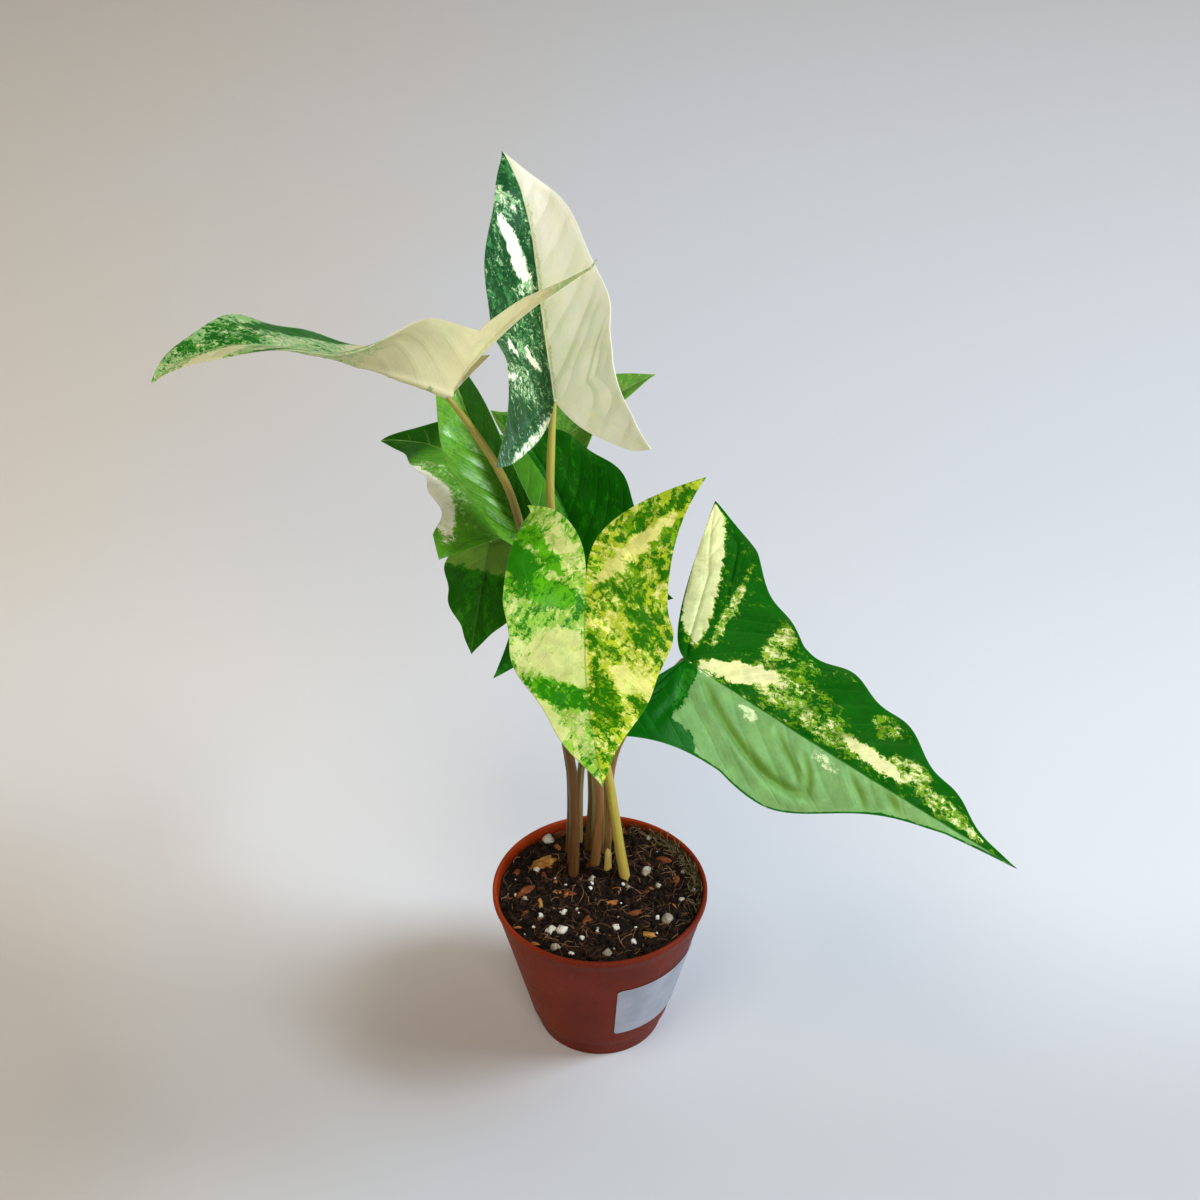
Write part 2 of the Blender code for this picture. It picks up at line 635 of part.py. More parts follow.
def inner_radius(z):
    """Inner radius of the pot's wall at a height."""
    low = (STEP_RADIUS - WALL, STEP_HEIGHT)
    high = (RIM_RADIUS - RIM_LIP - WALL, POT_HEIGHT - LIP_SHOULDER)
    return low[0] + (high[0] - low[0]) * (z - low[1]) / (high[1] - low[1])


def build_soil(parts):
    """Soil that fills the pot down to its floor, GAP inside the wall."""
    top_radius = inner_radius(SOIL_TOP) - GAP
    step_radius = STEP_RADIUS - WALL - GAP
    foot_radius = FOOT_RADIUS - WALL - GAP
    lower_rings = ((step_radius, STEP_HEIGHT), (foot_radius, FLOOR_THICKNESS + GAP))
    vertices = [(0.0, 0.0, soil_height(0.0, 0.0))]
    for ring in range(1, SOIL_RINGS + 1):
        radius = top_radius * ring / SOIL_RINGS
        for spoke in range(SOIL_SPOKES):
            angle = 2 * math.pi * (spoke + 0.5 * (ring % 2)) / SOIL_SPOKES
            x, y = radius * math.cos(angle), radius * math.sin(angle)
            z = SOIL_TOP if ring == SOIL_RINGS else soil_height(x, y)
            vertices.append((x, y, z))
    shift = 0.5 * (SOIL_RINGS % 2)
    for radius, z in lower_rings:
        for spoke in range(SOIL_SPOKES):
            angle = 2 * math.pi * (spoke + shift) / SOIL_SPOKES
            vertices.append((radius * math.cos(angle), radius * math.sin(angle), z))

    def ring_start(ring):
        return 1 + (ring - 1) * SOIL_SPOKES

    faces = [(0, 1 + i, 1 + (i + 1) % SOIL_SPOKES) for i in range(SOIL_SPOKES)]
    for ring in range(1, SOIL_RINGS):
        a, b = ring_start(ring), ring_start(ring + 1)
        for i in range(SOIL_SPOKES):
            j = (i + 1) % SOIL_SPOKES
            if ring % 2:
                faces += [(a + i, b + i, b + j), (a + i, b + j, a + j)]
            else:
                faces += [(a + i, b + i, a + j), (b + i, b + j, a + j)]
    for ring in range(SOIL_RINGS, SOIL_RINGS + len(lower_rings)):
        a, b = ring_start(ring), ring_start(ring + 1)
        for i in range(SOIL_SPOKES):
            j = (i + 1) % SOIL_SPOKES
            faces += [(a + i, b + i, b + j), (a + i, b + j, a + j)]
    faces.append(tuple(b + i for i in reversed(range(SOIL_SPOKES))))
    soil = new_object("soil", vertices, faces, parts, "soil")
    face_outwards(soil)
    return soil


def cut_holes(soil, tools):
    """Cuts the stalks' holes, one after another."""
    for tool in list(tools.objects):
        if tool.name.endswith("_hole"):
            cut(soil, tool)
    apply_modifiers(soil)
    face_outwards(soil)


def build_stub(parts, tools):
    foot = np.array([*STUB_HOLE, SOIL_TOP])
    tip = foot + np.array([*STUB_LEAN, STUB_HEIGHT])
    rise = (tip - foot) / np.linalg.norm(tip - foot)
    bottom = foot - rise * (HOLE_DEPTH - GAP) / rise[2]
    points = [bottom, foot, foot + 0.5 * (tip - foot), tip]
    radii = [STUB_RADIUS * share for share in STUB_TAPER]
    stub = tube("stalk_stub", points, radii, parts, "sheath")
    hole_cutter("stub_hole", foot, rise, STUB_RADIUS + GAP, HOLE_DEPTH / rise[2], tools)
    return stub


def build_label(parts):
    """A bare paper label that wraps round the wall."""
    columns, rows = LABEL_COLUMNS, LABEL_ROWS
    vertices = []
    for layer in (0, 1):
        for row in range(rows + 1):
            z = LABEL_BOTTOM + (LABEL_TOP - LABEL_BOTTOM) * row / rows
            radius = wall_radius(z) + GAP + layer * LABEL_THICKNESS
            for column in range(columns + 1):
                angle = math.radians(LABEL_START + (LABEL_END - LABEL_START) * column / columns)
                vertices.append((radius * math.cos(angle), radius * math.sin(angle), z))
    wide = columns + 1
    layer_size = wide * (rows + 1)
    faces = []
    for row in range(rows):
        for column in range(columns):
            a = row * wide + column
            b, c, d = a + 1, a + wide + 1, a + wide
            faces.append((a, d, c, b))
            faces.append(tuple(layer_size + v for v in (a, b, c, d)))
    edge = list(range(wide))
    edge += [row * wide + columns for row in range(1, rows + 1)]
    edge += [rows * wide + column for column in range(columns - 1, -1, -1)]
    edge += [row * wide for row in range(rows - 1, 0, -1)]
    for a, b in zip(edge, edge[1:] + edge[:1]):
        faces.append((a, b, layer_size + b, layer_size + a))
    label = new_object("label", vertices, faces, parts, "label_paper")
    face_outwards(label)
    return label


def main():
    clear_scene()
    parts = new_collection("potted_arrowhead_plant")
    tools = new_collection("cutters")
    build_pot(parts, tools)
    soil = build_soil(parts)
    for name in LEAVES:
        build_leaf(name, parts, tools)
    build_stub(parts, tools)
    cut_holes(soil, tools)
    build_label(parts)
    bpy.context.view_layer.update()


main()
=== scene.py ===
"""The looks of the potted arrowhead plant: fine leaves, stalks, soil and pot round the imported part.

Sizes are millimetres and degrees, and MM turns them into metres for Blender.
"""

import random
from math import cos, hypot, pi, radians, sin, sqrt

import bmesh
import bpy
import numpy as np
from mathutils import Euler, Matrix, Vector, noise


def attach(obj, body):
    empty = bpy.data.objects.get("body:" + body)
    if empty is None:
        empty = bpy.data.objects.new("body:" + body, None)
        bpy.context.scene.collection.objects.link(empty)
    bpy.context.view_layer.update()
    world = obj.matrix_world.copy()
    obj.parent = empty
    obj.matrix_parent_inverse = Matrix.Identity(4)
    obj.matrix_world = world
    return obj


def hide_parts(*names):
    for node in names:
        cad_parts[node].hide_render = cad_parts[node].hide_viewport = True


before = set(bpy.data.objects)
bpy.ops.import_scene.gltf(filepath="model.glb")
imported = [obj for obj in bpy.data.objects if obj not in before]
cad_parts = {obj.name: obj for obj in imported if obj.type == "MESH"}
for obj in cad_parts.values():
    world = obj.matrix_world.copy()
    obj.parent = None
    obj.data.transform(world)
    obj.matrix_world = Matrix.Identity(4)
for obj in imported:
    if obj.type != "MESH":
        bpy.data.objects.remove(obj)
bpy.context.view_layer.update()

MM = 0.001
random.seed(11)

GAP = 0.3            # clear space between two pieces that touch on the real plant

# Pot
RIM_RADIUS = 32.5
POT_HEIGHT = 53.0
RIM_LIP = 0.5        # how far the rolled lip stands out of the wall
RIM_DEPTH = 2.4      # height of the lip
LIP_SHOULDER = 0.4
LIP_ROUND = 0.6      # height of the lip's rounded top
WALL = 0.8
STEP_RADIUS = 21.4   # wall radius just above the foot
STEP_HEIGHT = 6.5
FOOT_TOP_RADIUS = 20.2
FOOT_RADIUS = 19.2
FLOOR_THICKNESS = 1.4
DRAIN_RADIUS = 2.6
DRAIN_RING = 11.5
DRAIN_COUNT = 5
DRAIN_CUT = 6.0      # length of the tool that cuts a drain hole
TURN_STEPS = 256
SHARP = 38           # the pot's edges look sharp from this angle on

# Soil
SOIL_TOP = 49.8
SOIL_CROWN = 1.4     # how much higher the soil stands around the stems
HOLE_DEPTH = 11.0
SOIL_RINGS = 96
SOIL_SPOKES = 300
CRUMBS = 900
PERLITE = 34
BARK_CHIPS = 46
FIBRES = 330
MOSS_STRANDS = 420
TOPPING = 30.0       # how far from the middle crumbs and grains lie
FIBRE_SPREAD = 29.0
MOSS_TURN = (28, 26)       # where the moss grows: degrees round the pot, middle and spread
MOSS_RADIUS = (29.9, 1.0)  # and its distance from the middle
MOSS_END = 30.6

# Label
LABEL_START = -79.5  # degrees round the pot, -90 faces the front
LABEL_END = -14.0
LABEL_BOTTOM = 13.0
LABEL_TOP = 37.0
LABEL_CORNER = 1.2
LABEL_THICKNESS = 0.16
LABEL_OFF = 0.06     # least distance from the wall
LABEL_WAVE = 0.05    # height of the paper's waves
LABEL_COLUMNS = 150
LABEL_ROWS = 60

# Blades
BLADE_THICKNESS = 0.7    # of the solids
SPINE_STEPS = 120
CURL_WIDTH = 25.0        # a half's curl is its turn in degrees over this width
VEIN_SHARE = 0.45        # where a lobe's vein runs between its inner and outer margins
VEIN_START = 0.4         # part of the lobe over which its vein gets to that place
VEIN_BEND = 0.7
FLARE_REACH = 0.24       # part of the length over which a flare fades
FLARE_BEND = 1.2
SCALLOP_START = 0.25     # part of the length from the tip over which the scallops grow
TIP_SLOPE = 0.11         # least width of a half near the tip, per millimetre from the tip
WAVE_RIB = 7.0           # shorter ribs than this carry less of the margin's wave
WAVE_BEND = 3            # the higher, the closer to the margin the wave stays
WAVE_START = 2.0
FLAT = 1e-6              # smallest bend that counts as one
RIB_SPACING = 0.62       # along the midrib
MIDRIB_RIBS = 50         # the fewest ribs of a short blade
RIB_STEPS = 42           # from the midrib to the margin
LOBE_RIBS = 54
INNER_STEPS = 20         # from a lobe's vein to its inner margin
LEAF_THICKNESS = 0.44
MARGIN_THICKNESS = 0.2
VEIN_LEAD = 0.8          # how far a side vein runs towards the tip, per millimetre across
VEIN_CURVE = 30.0        # the smaller, the more a side vein bends towards the tip
VEIN_WAVE = (0.37, 0.05, 0.12)   # turns of the veins' wobble per millimetre along and across, and its height
OUTER_BOW = 1.8          # how far an outer lobe's side veins turn from the blade's tip to the lobe's end
INNER_BOW = -0.7         # how far an inner lobe's side veins run towards the lobe's end
LOBE_TURN = 0.35         # part of a lobe over which its markings start to fan out
LOBE_FAN = 12.0          # span of the markings per radian round a lobe
GROOVE = 0.12            # depth of a side vein's groove on the upper side
RIDGE = 0.16             # height of a side vein's ridge on the underside
VEIN_WIDTH = 0.42
VEIN_SLANT = 1.35        # how much the station changes, per millimetre across a side vein
QUILT_GROWS = (7.0, 3.0)   # distances from the margin and the midrib at which the quilting is full
THIN_MARGIN = 1.2        # distance from the margin at which the blade has its full thickness
UNEVEN = 0.28            # height of the blade's uneven swells
MIDRIB_GROOVE = 0.3
MIDRIB_RIDGE = 0.75

# Stalks
STALK_BASE = 2.0
STALK_MIDDLE = 1.6   # radius above the swollen base
STALK_TOP = 1.15
STALK_END = 0.55     # radius where the stalk runs into the blade
STALK_DROP = 1.4     # how far below the blade the stalk bends into it
STALK_BACK = 0.6     # how far behind the junction that bend starts
STALK_RUN = 2.0      # how far the stalk runs on along the midrib
SHEATH = 0.3         # part of the stalk that the swollen base takes up
SHEATH_BEND = 1.5
STALK_POINTS = 15
CURVE_STEPS = 24     # steps between two points that a stalk passes
STALK_RINGS = 110
STALK_SIDES = 28
SLIM = 0.9           # the fine stalks against the solids
WING = 0.12          # rise of the sheath's two edges, part of the radius
WING_PLACE = (0.62, 0.24)   # an edge's angle from the inner side and its width, in radians
CHANNEL = 0.35       # depth of the channel between them
CHANNEL_WIDTH = 0.42
UPPER_CHANNEL = 0.09 # depth of the channel above the sheath
PLANT_MIDDLE = (0.0, 14.0)

# A cut-off stalk sheath beside the stems
STUB_HOLE = (2.2, 9.3)
STUB_RADIUS = 1.1
STUB_HEIGHT = 11.0
STUB_LEAN = (0.4, -0.6)
STUB_ROOT = 3.0      # how deep it stands in its hole

# Markings
BROAD_PULL = 9.0           # how far the broad mottling moves the greens' edges
FINE = 1.15                # span of the fine mottling
FINE_PULL = 12.0           # how far it moves the greens' edges
WARP = 5.0                 # how far the places are shifted by noise
AREA_EDGE = (0.6, 1.25)    # between these parts of its radii an area fades
MIDDLE = (0.5, 0.5, 0.5)   # what a noise colour swings round

# Camera and room
LENS = 66.0
SENSOR = 36.0
CLIP = (0.01, 20.0)  # metres
CAMERA_PLACE = (0.0, -486.0, 516.0)
CAMERA_PITCH = 36.2
FLOOR_FRONT = 1600.0
FLOOR_BACK = 900.0   # where the floor starts to rise, and the radius of that bend
FLOOR_TOP = 2600.0   # height of the background, and half its width


def half(width, back, out, fold, lift=0.0, curl=0.0, sinus=4.0, spread=2.2, flare=0.0,
         ripple=(0.0, 1, 0.0), wave=0.5, taper=1.2):
    """One half of a blade.

    width: margin to midrib, back and out: where the basal lobe's tip lies behind and beside the junction,
    fold: how far the half is raised at the lobe, the junction, the middle and the tip, lift: how far the lobe
    bends up, curl: how the half bends across, sinus and spread: how the lobe's inner and outer margins bow,
    flare: extra width at the junction, ripple: height, count and start of the margin's scallops,
    wave: how far the margin goes up and down, taper: how thin the tip is.
    """
    return dict(width=width, back=back, out=out, fold=fold, lift=lift, curl=curl, sinus=sinus, spread=spread,
                flare=flare, ripple=ripple, wave=wave, taper=taper)


# slot: the material's name in the frame, junction: where the blade meets its stalk, heading and turn: the
# midrib's direction seen from above and its change towards the tip, pitch: its slope at the junction, the
# middle and the tip, roll: how the right half tips down, peak: where the blade is widest (part of the length
# from the tip), stalk: the soil hole, then points that the stalk passes, thick: its thickness against the
# usual one.
LEAVES = dict(
    leaf_front=dict(
        slot="leaf_lime", junction=(-3.8, -30.4, 181.7), length=54, heading=-92, turn=14,
        pitch=(-44, -13, -22), roll=(-8, -8), peak=0.85,
        left=half(22.3, 31, 32, (28, 22, 16, 11), lift=-2, curl=-3, ripple=(0.6, 2.5, 0.3)),
        right=half(22.3, 30, 30, (51, 17, 15, 15), lift=23, curl=5, taper=1, ripple=(0.7, 2.5, 0.8)),
        stalk=((-1.8, 12.2), (0, 8, 81), (-2, -7, 132), (-3.6, -22, 166)), thick=1,
    ),
    leaf_right=dict(
        slot="leaf_green_cream", junction=(23, -19.3, 154.7), length=103, heading=-29, turn=5,
        pitch=(-21, -20, -21), roll=(23, 27), peak=0.64,
        left=half(20.5, 17, 40, (22, 17, 19, 12), lift=-7, curl=6, sinus=2, spread=0.8, flare=13,
                  taper=1.5, ripple=(0.9, 5, 0.15)),
        right=half(21, 10, 33, (3, 20, -1, 12), lift=-2, curl=-16, sinus=1, spread=0.8, flare=10,
                   taper=3.8, ripple=(1.3, 2.1, 0.83)),
        stalk=((1.8, 17), (2.9, 16.6, 80), (4.4, 15.4, 92), (8, 8.5, 108), (15.4, -3.5, 130)), thick=0.95,
    ),
    leaf_top=dict(
        slot="leaf_cream", junction=(-11.9, 1.8, 223), length=68, heading=100, turn=17, pitch=(38, 68, 16),
        roll=(-1, -8), peak=0.85,
        left=half(27, 38, 39, (43, 50, 33, 11), lift=13, curl=20, sinus=1.4, spread=1.6, taper=1.15,
                  ripple=(0.7, 3, 0)),
        right=half(26, 40, 37, (43, 46, 36, 13), lift=16, curl=26, sinus=1.2, spread=1.4, taper=1.4,
                   ripple=(0.6, 3, 0.4)),
        stalk=(
            (7.9, 5.5), (5.3, 8, 67), (2.7, 11.2, 86), (-3, 11.5, 118), (-9.6, 4, 155),
            (-13, -3, 195),
        ),
        thick=1,
    ),
    leaf_left=dict(
        slot="leaf_cream", junction=(-36.4, -19.8, 236.7), length=78, heading=190, turn=15,
        pitch=(30, 23, -33), roll=(48, -8), peak=0.80,
        left=half(18, 43, 40, (46, 66, 7, 7), lift=44, curl=-2, sinus=0.5, spread=0.7,
                  ripple=(0.5, 2.5, 0.5)),
        right=half(20, 14, 25, (66, 40, 8, 24), lift=10, curl=10, sinus=0.8, spread=0.8, taper=0.9,
                   ripple=(0.9, 3.5, 0.1)),
        stalk=((-8.2, 7.3), (-7.7, 6.8, 81), (-9.6, 4.6, 106), (-20.6, -16, 196), (-29, -19.5, 222)),
        thick=0.95,
    ),
    leaf_left_back=dict(
        slot="leaf_mid_green", junction=(-23.3, 11.1, 174.9), length=62, heading=106, turn=54,
        pitch=(24, 2, -16), roll=(0, -14), peak=0.80,
        left=half(19, 8, 24, (19, 16, 17, 10), lift=4, curl=-5, sinus=1, spread=0.7, flare=4, taper=1,
                  ripple=(1, 3, 0.2)),
        right=half(14, 4, 9, (0, 5, 20, 14), lift=-10, curl=-3, sinus=1, spread=0.8, taper=0.85,
                   ripple=(0.4, 3, 0.5)),
        stalk=((-9.2, 18), (-9, 18.6, 80), (-12.5, 16, 138), (-17.5, 9.5, 162)), thick=0.85,
    ),
    leaf_glossy=dict(
        slot="leaf_mid_green", junction=(-19.8, 4.5, 181), length=64, heading=130, turn=-20,
        pitch=(39, 35, 53), roll=(-21, -16), peak=0.85,
        left=half(14, 5, 9, (65, 46, 23, 14), lift=13, curl=7, sinus=2, spread=1.5, ripple=(0.4, 2, 0)),
        right=half(10.5, 4, 7, (48, 71, 47, 10), lift=2, curl=23, sinus=2, spread=1.5,
                   ripple=(0.3, 2, 0.5)),
        stalk=((-3.4, 18.8), (-2.6, 19.6, 80), (-7.5, 13, 140), (-15, 6.5, 168)), thick=0.85,
    ),
    leaf_hanging=dict(
        slot="leaf_dark_green", junction=(-31, 24, 162), length=32, heading=248, turn=0,
        pitch=(-55, -62, -68), roll=(0, 0), peak=0.75,
        left=half(15, 8, 13, (12, 12, 12, 8), sinus=2, spread=1, ripple=(0.5, 2.5, 0.2)),
        right=half(11, 8, 10, (12, 12, 12, 8), sinus=2, spread=1, ripple=(0.7, 3, 0)),
        stalk=((-8.6, 12.4), (-8.6, 12.8, 82), (-16, 15, 132), (-27.5, 21, 158.5)), thick=0.75,
    ),
    leaf_dark=dict(
        slot="leaf_dark_green", junction=(-6.1, 34.7, 149.3), length=50, heading=109, turn=31,
        pitch=(53, 34, 28), roll=(-8, -23), peak=0.85,
        left=half(21, 29, 31, (7, 20, 9, 11), lift=-11, curl=-11, sinus=3, spread=2,
                  ripple=(0.5, 3, 0)),
        right=half(21, 25, 26, (29, 23, 23, 14), lift=33, curl=8, sinus=3, spread=2,
                   ripple=(0.7, 3, 0.3)),
        stalk=((-7, 22.6), (-6.2, 23.4, 74), (-4.6, 25, 92), (-3.8, 30, 136)), thick=0.85,
    ),
    leaf_small=dict(
        slot="leaf_mid_green", junction=(-16.8, 83.1, 156.2), length=41, heading=19, turn=-4,
        pitch=(26, 37, 17), roll=(29, 9), peak=0.85,
        left=half(16, 14, 19, (33, 44, 35, 14), lift=40, curl=15, sinus=2.5, spread=1.2,
                  ripple=(0.4, 2, 0)),
        right=half(16, 15, 17, (52, 20, 38, 10), lift=40, curl=10, sinus=2.5, spread=1.2,
                   ripple=(0.4, 2, 0.4)),
        stalk=((2.6, 23.4), (1.6, 25, 74), (-1, 38, 106), (-12, 71, 146)), thick=0.75,
    ),
)


# Lines and curves

def smooth(knots, values, x):
    """A curve through the values at the knots that doesn't overshoot between them."""
    k, v = np.asarray(knots, float), np.asarray(values, float)
    gaps = np.diff(k)
    slopes = np.diff(v) / gaps
    tangent = np.zeros(len(k))
    tangent[0], tangent[-1] = slopes[0], slopes[-1]
    for i in range(1, len(k) - 1):
        before, after = slopes[i - 1], slopes[i]
        if before * after > 0:
            a, b = 2 * gaps[i] + gaps[i - 1], gaps[i] + 2 * gaps[i - 1]
            tangent[i] = (a + b) / (a / before + b / after)
    x = np.clip(x, k[0], k[-1])
    i = np.clip(np.searchsorted(k, x, side="right") - 1, 0, len(gaps) - 1)
    u = (x - k[i]) / gaps[i]
    w = 1 - u
    return (v[i] * (1 + 2 * u) * w * w + tangent[i] * gaps[i] * u * w * w
            + v[i + 1] * u * u * (3 - 2 * u) - tangent[i + 1] * gaps[i] * u * u * w)


def grown(x, whole):
    """How far x has come on its way from 0 to a value, 0 to 1."""
    return np.clip(x / whole, 0, 1)


def bell(x, wide):
    return np.exp(-(x / wide) ** 2)


def unit(vectors):
    return vectors / np.maximum(np.linalg.norm(vectors, axis=-1, keepdims=True), 1e-12)


def run_along(points):
    """Distance from the first point, at each point of a line."""
    return np.concatenate([[0], np.cumsum(np.linalg.norm(np.diff(points, axis=0), axis=1))])


def read_at(x, knots, rows):
    """Rows of numbers that belong to knots, read between them."""
    return np.stack([np.interp(x, knots, column) for column in rows.T], -1)


def through(points, count):
    """Evenly spaced points on a smooth curve through a few points in space."""
    p = np.asarray(points, float)
    p = np.vstack([2 * p[0] - p[1], p, 2 * p[-1] - p[-2]])
    u = np.linspace(0, 1, CURVE_STEPS, endpoint=False)[:, None]
    dense = [b + 0.5 * u * (c - a + (2 * a - 5 * b + 4 * c - d) * u + (3 * b - a - 3 * c + d) * u * u)
             for a, b, c, d in zip(p, p[1:], p[2:], p[3:])]
    dense = np.vstack([*dense, p[-2]])
    run = run_along(dense)
    return read_at(np.linspace(0, run[-1], count), run, dense)


def circle(sides):
    return np.arange(sides) * 2 * pi / sides


def rings_round(line, tangent, side, radii, angles):
    """Rings of points round a line, at the given radii and angles from the given side."""
    other = np.cross(tangent, side)
    return (line[:, None] + side[:, None] * (radii * np.cos(angles))[..., None]
            + other[:, None] * (radii * np.sin(angles))[..., None]).reshape(-1, 3)


def band(a, b, sides):
    """Faces between two rings of vertices that start at a and b."""
    return [[a + j, a + (j + 1) % sides, b + (j + 1) % sides, b + j] for j in range(sides)]


def tube(rings, sides):
    """Faces of a row of rings, with both ends closed."""
    faces = []
    for ring in range(rings - 1):
        faces += band(ring * sides, (ring + 1) * sides, sides)
    return faces + [list(reversed(range(sides))), [(rings - 1) * sides + j for j in range(sides)]]


def rim_of(faces):
    """The directed edges that only one face has."""
    edges = dict.fromkeys(edge for face in faces for edge in zip(face, face[1:] + face[:1]))
    return [(a, b) for a, b in edges if (b, a) not in edges]


# Leaf blades

def spine(leaf, s):
    """Point, direction, upward normal and right-hand side of the midrib at distances s from its start."""
    length = leaf["length"]
    q = np.linspace(0, 1, SPINE_STEPS + 1)
    yaw = np.radians(leaf["heading"] + leaf["turn"] * q)
    pitch = np.radians(smooth([0, 0.5, 1], leaf["pitch"], q))
    roll = np.radians(smooth([0, 1], leaf["roll"], q))[:, None]
    along = np.stack([np.cos(pitch) * np.cos(yaw), np.cos(pitch) * np.sin(yaw), np.sin(pitch)], -1)
    level = np.stack([np.sin(yaw), -np.cos(yaw), 0 * yaw], -1)
    top = np.cross(level, along)
    side = level * np.cos(roll) - top * np.sin(roll)
    up = level * np.sin(roll) + top * np.cos(roll)
    place = np.zeros_like(along)
    place[1:] = np.cumsum((along[1:] + along[:-1]) / 2 * (length / SPINE_STEPS), 0)
    place += np.array(leaf["junction"])
    x = np.clip(np.asarray(s, float) / length, 0, 1)
    return [read_at(x, q, rows) for rows in (place, along, up, side)]


def blade_point(leaf, hand, s, t, sway):
    """Points of one half (hand -1 left, +1 right) at flat distances s along and t across.

    sway is the part of the margin's wave that each point follows.
    """
    part = leaf["left" if hand < 0 else "right"]
    place, along, up, side = spine(leaf, np.maximum(s, 0))
    reach = 0.5 * leaf["length"]
    bend, curl = radians(part["lift"]) / reach, radians(part["curl"]) / CURL_WIDTH
    bend, curl = (value if abs(value) > FLAT else FLAT for value in (bend, curl))
    turned = (bend * np.maximum(-s, 0))[..., None]
    place = place - along * np.sin(turned) / bend + up * (1 - np.cos(turned)) / bend
    up = up * np.cos(turned) + along * np.sin(turned)
    raised = np.radians(smooth([-reach, 0, reach, leaf["length"]], part["fold"], s))
    x = (np.sin(raised + curl * t) - np.sin(raised)) / curl
    z = (np.cos(raised) - np.cos(raised + curl * t)) / curl
    beat = 2 * pi * part["ripple"][1]
    z = z + part["wave"] * sway * np.sin(beat * (1 - s / leaf["length"]) + WAVE_START)
    return place + hand * side * x[..., None] + up * z[..., None]


def half_outline(leaf, hand, blade_ribs):
    """Flat roots and margin ends of a half's ribs: blade, outer lobe and inner lobe."""
    part = leaf["left" if hand < 0 else "right"]
    length = leaf["length"]
    high, count, start = part["ripple"]
    q = np.linspace(0, 1, blade_ribs)
    s = length * (1 - q)
    t = part["width"] * np.sin(pi / 2 * np.minimum(1, q / leaf["peak"])) ** part["taper"]
    t = t + part["flare"] * np.clip(1 - s / (FLARE_REACH * length), 0, 1) ** FLARE_BEND
    t = t + high * np.sin(2 * pi * (count * q + start)) * grown(q, SCALLOP_START)
    t = np.maximum(t, TIP_SLOPE * length * q)
    blade = (np.stack([s, 0 * s], -1), np.stack([s, t], -1))

    q = np.linspace(0, 1, LOBE_RIBS)
    back, out = part["back"], part["out"]
    outer = np.stack([-back * q, t[-1] + (out - t[-1]) * q ** part["spread"]], -1)
    bow = sqrt(part["sinus"])
    inner = np.stack([-back * q ** (1 / bow), out * q ** bow], -1)
    share = (VEIN_SHARE * np.minimum(1, q / VEIN_START) ** VEIN_BEND)[:, None]
    vein = inner * (1 - share) + outer * share
    vein[-1] = outer[-1] = inner[-1] = (-back, out)
    return blade, (vein, outer), (vein, inner)


def lead(t):
    """How far along the blade a side vein has run at a distance t from the midrib."""
    return VEIN_LEAD * t + t * t / VEIN_CURVE


def fine_surface(leaf):
    """What the relief and the looks need at each vertex of a blade's middle surface, and its faces."""
    rows, faces = [], []
    offset = 0
    for hand in (-1, 1):
        patches = half_outline(leaf, hand, max(MIDRIB_RIBS, int(leaf["length"] / RIB_SPACING)))
        for number, (roots, ends) in enumerate(patches):
            w = np.linspace(0, 1, (INNER_STEPS if number == 2 else RIB_STEPS) + 1)[None, :]
            flat = roots[:, None] + (ends - roots)[:, None] * w[..., None]
            s, t = flat[..., 0], flat[..., 1]
            rib = np.linalg.norm(ends - roots, axis=1)[:, None]
            q = np.linspace(0, 1, len(flat))[:, None]
            axis = w * rib
            if number == 0:
                station = s - lead(axis)
                blend = 0 * station
                axis_run = s / leaf["length"]
            else:
                bow = 1 - OUTER_BOW * q if number == 1 else INNER_BOW
                station = -run_along(roots)[:, None] - bow * lead(axis)
                blend = grown(q, LOBE_TURN) + 0 * station
                axis_run = q + 0 * station
            across_grain = station * (1 - blend) - np.arctan2(t, s) * LOBE_FAN * blend
            along_grain = t * (1 - blend) + np.hypot(s, t) * blend
            space = blade_point(leaf, hand, s, t, np.minimum(1, rib / WAVE_RIB) * w ** WAVE_BEND)
            values = [s, hand * t, station, (1 - w) * rib, axis, axis_run, across_grain, along_grain]
            values = np.concatenate([np.stack(values, -1), space], -1)
            rows.append(values.reshape(-1, values.shape[-1]))
            ids = offset + np.arange(s.size).reshape(s.shape)
            offset += ids.size
            quads = np.stack([ids[:-1, :-1], ids[:-1, 1:], ids[1:, 1:], ids[1:, :-1]], -1).reshape(-1, 4)
            faces.append(quads if (hand < 0) == (number < 2) else quads[:, ::-1])
    values = np.vstack(rows)
    keys = np.round(values[:, :2] * 1000).astype(np.int64)
    kept, first, back = np.unique(keys[:, 0] * 10000000 + keys[:, 1], return_index=True, return_inverse=True)
    return values[first], back.reshape(-1)[np.vstack(faces)]


def face_lists(faces):
    """The faces without repeated corners, as lists."""
    lists = [list(dict.fromkeys(face)) for face in faces.tolist()]
    return [corners for corners in lists if len(corners) > 2]


def normals_of(places, faces):
    cross = np.cross(places[faces[:, 2]] - places[faces[:, 0]], places[faces[:, 3]] - places[faces[:, 1]])
    normal = np.zeros_like(places)
    for corner in range(4):
        np.add.at(normal, faces[:, corner], cross)
    return unit(normal)


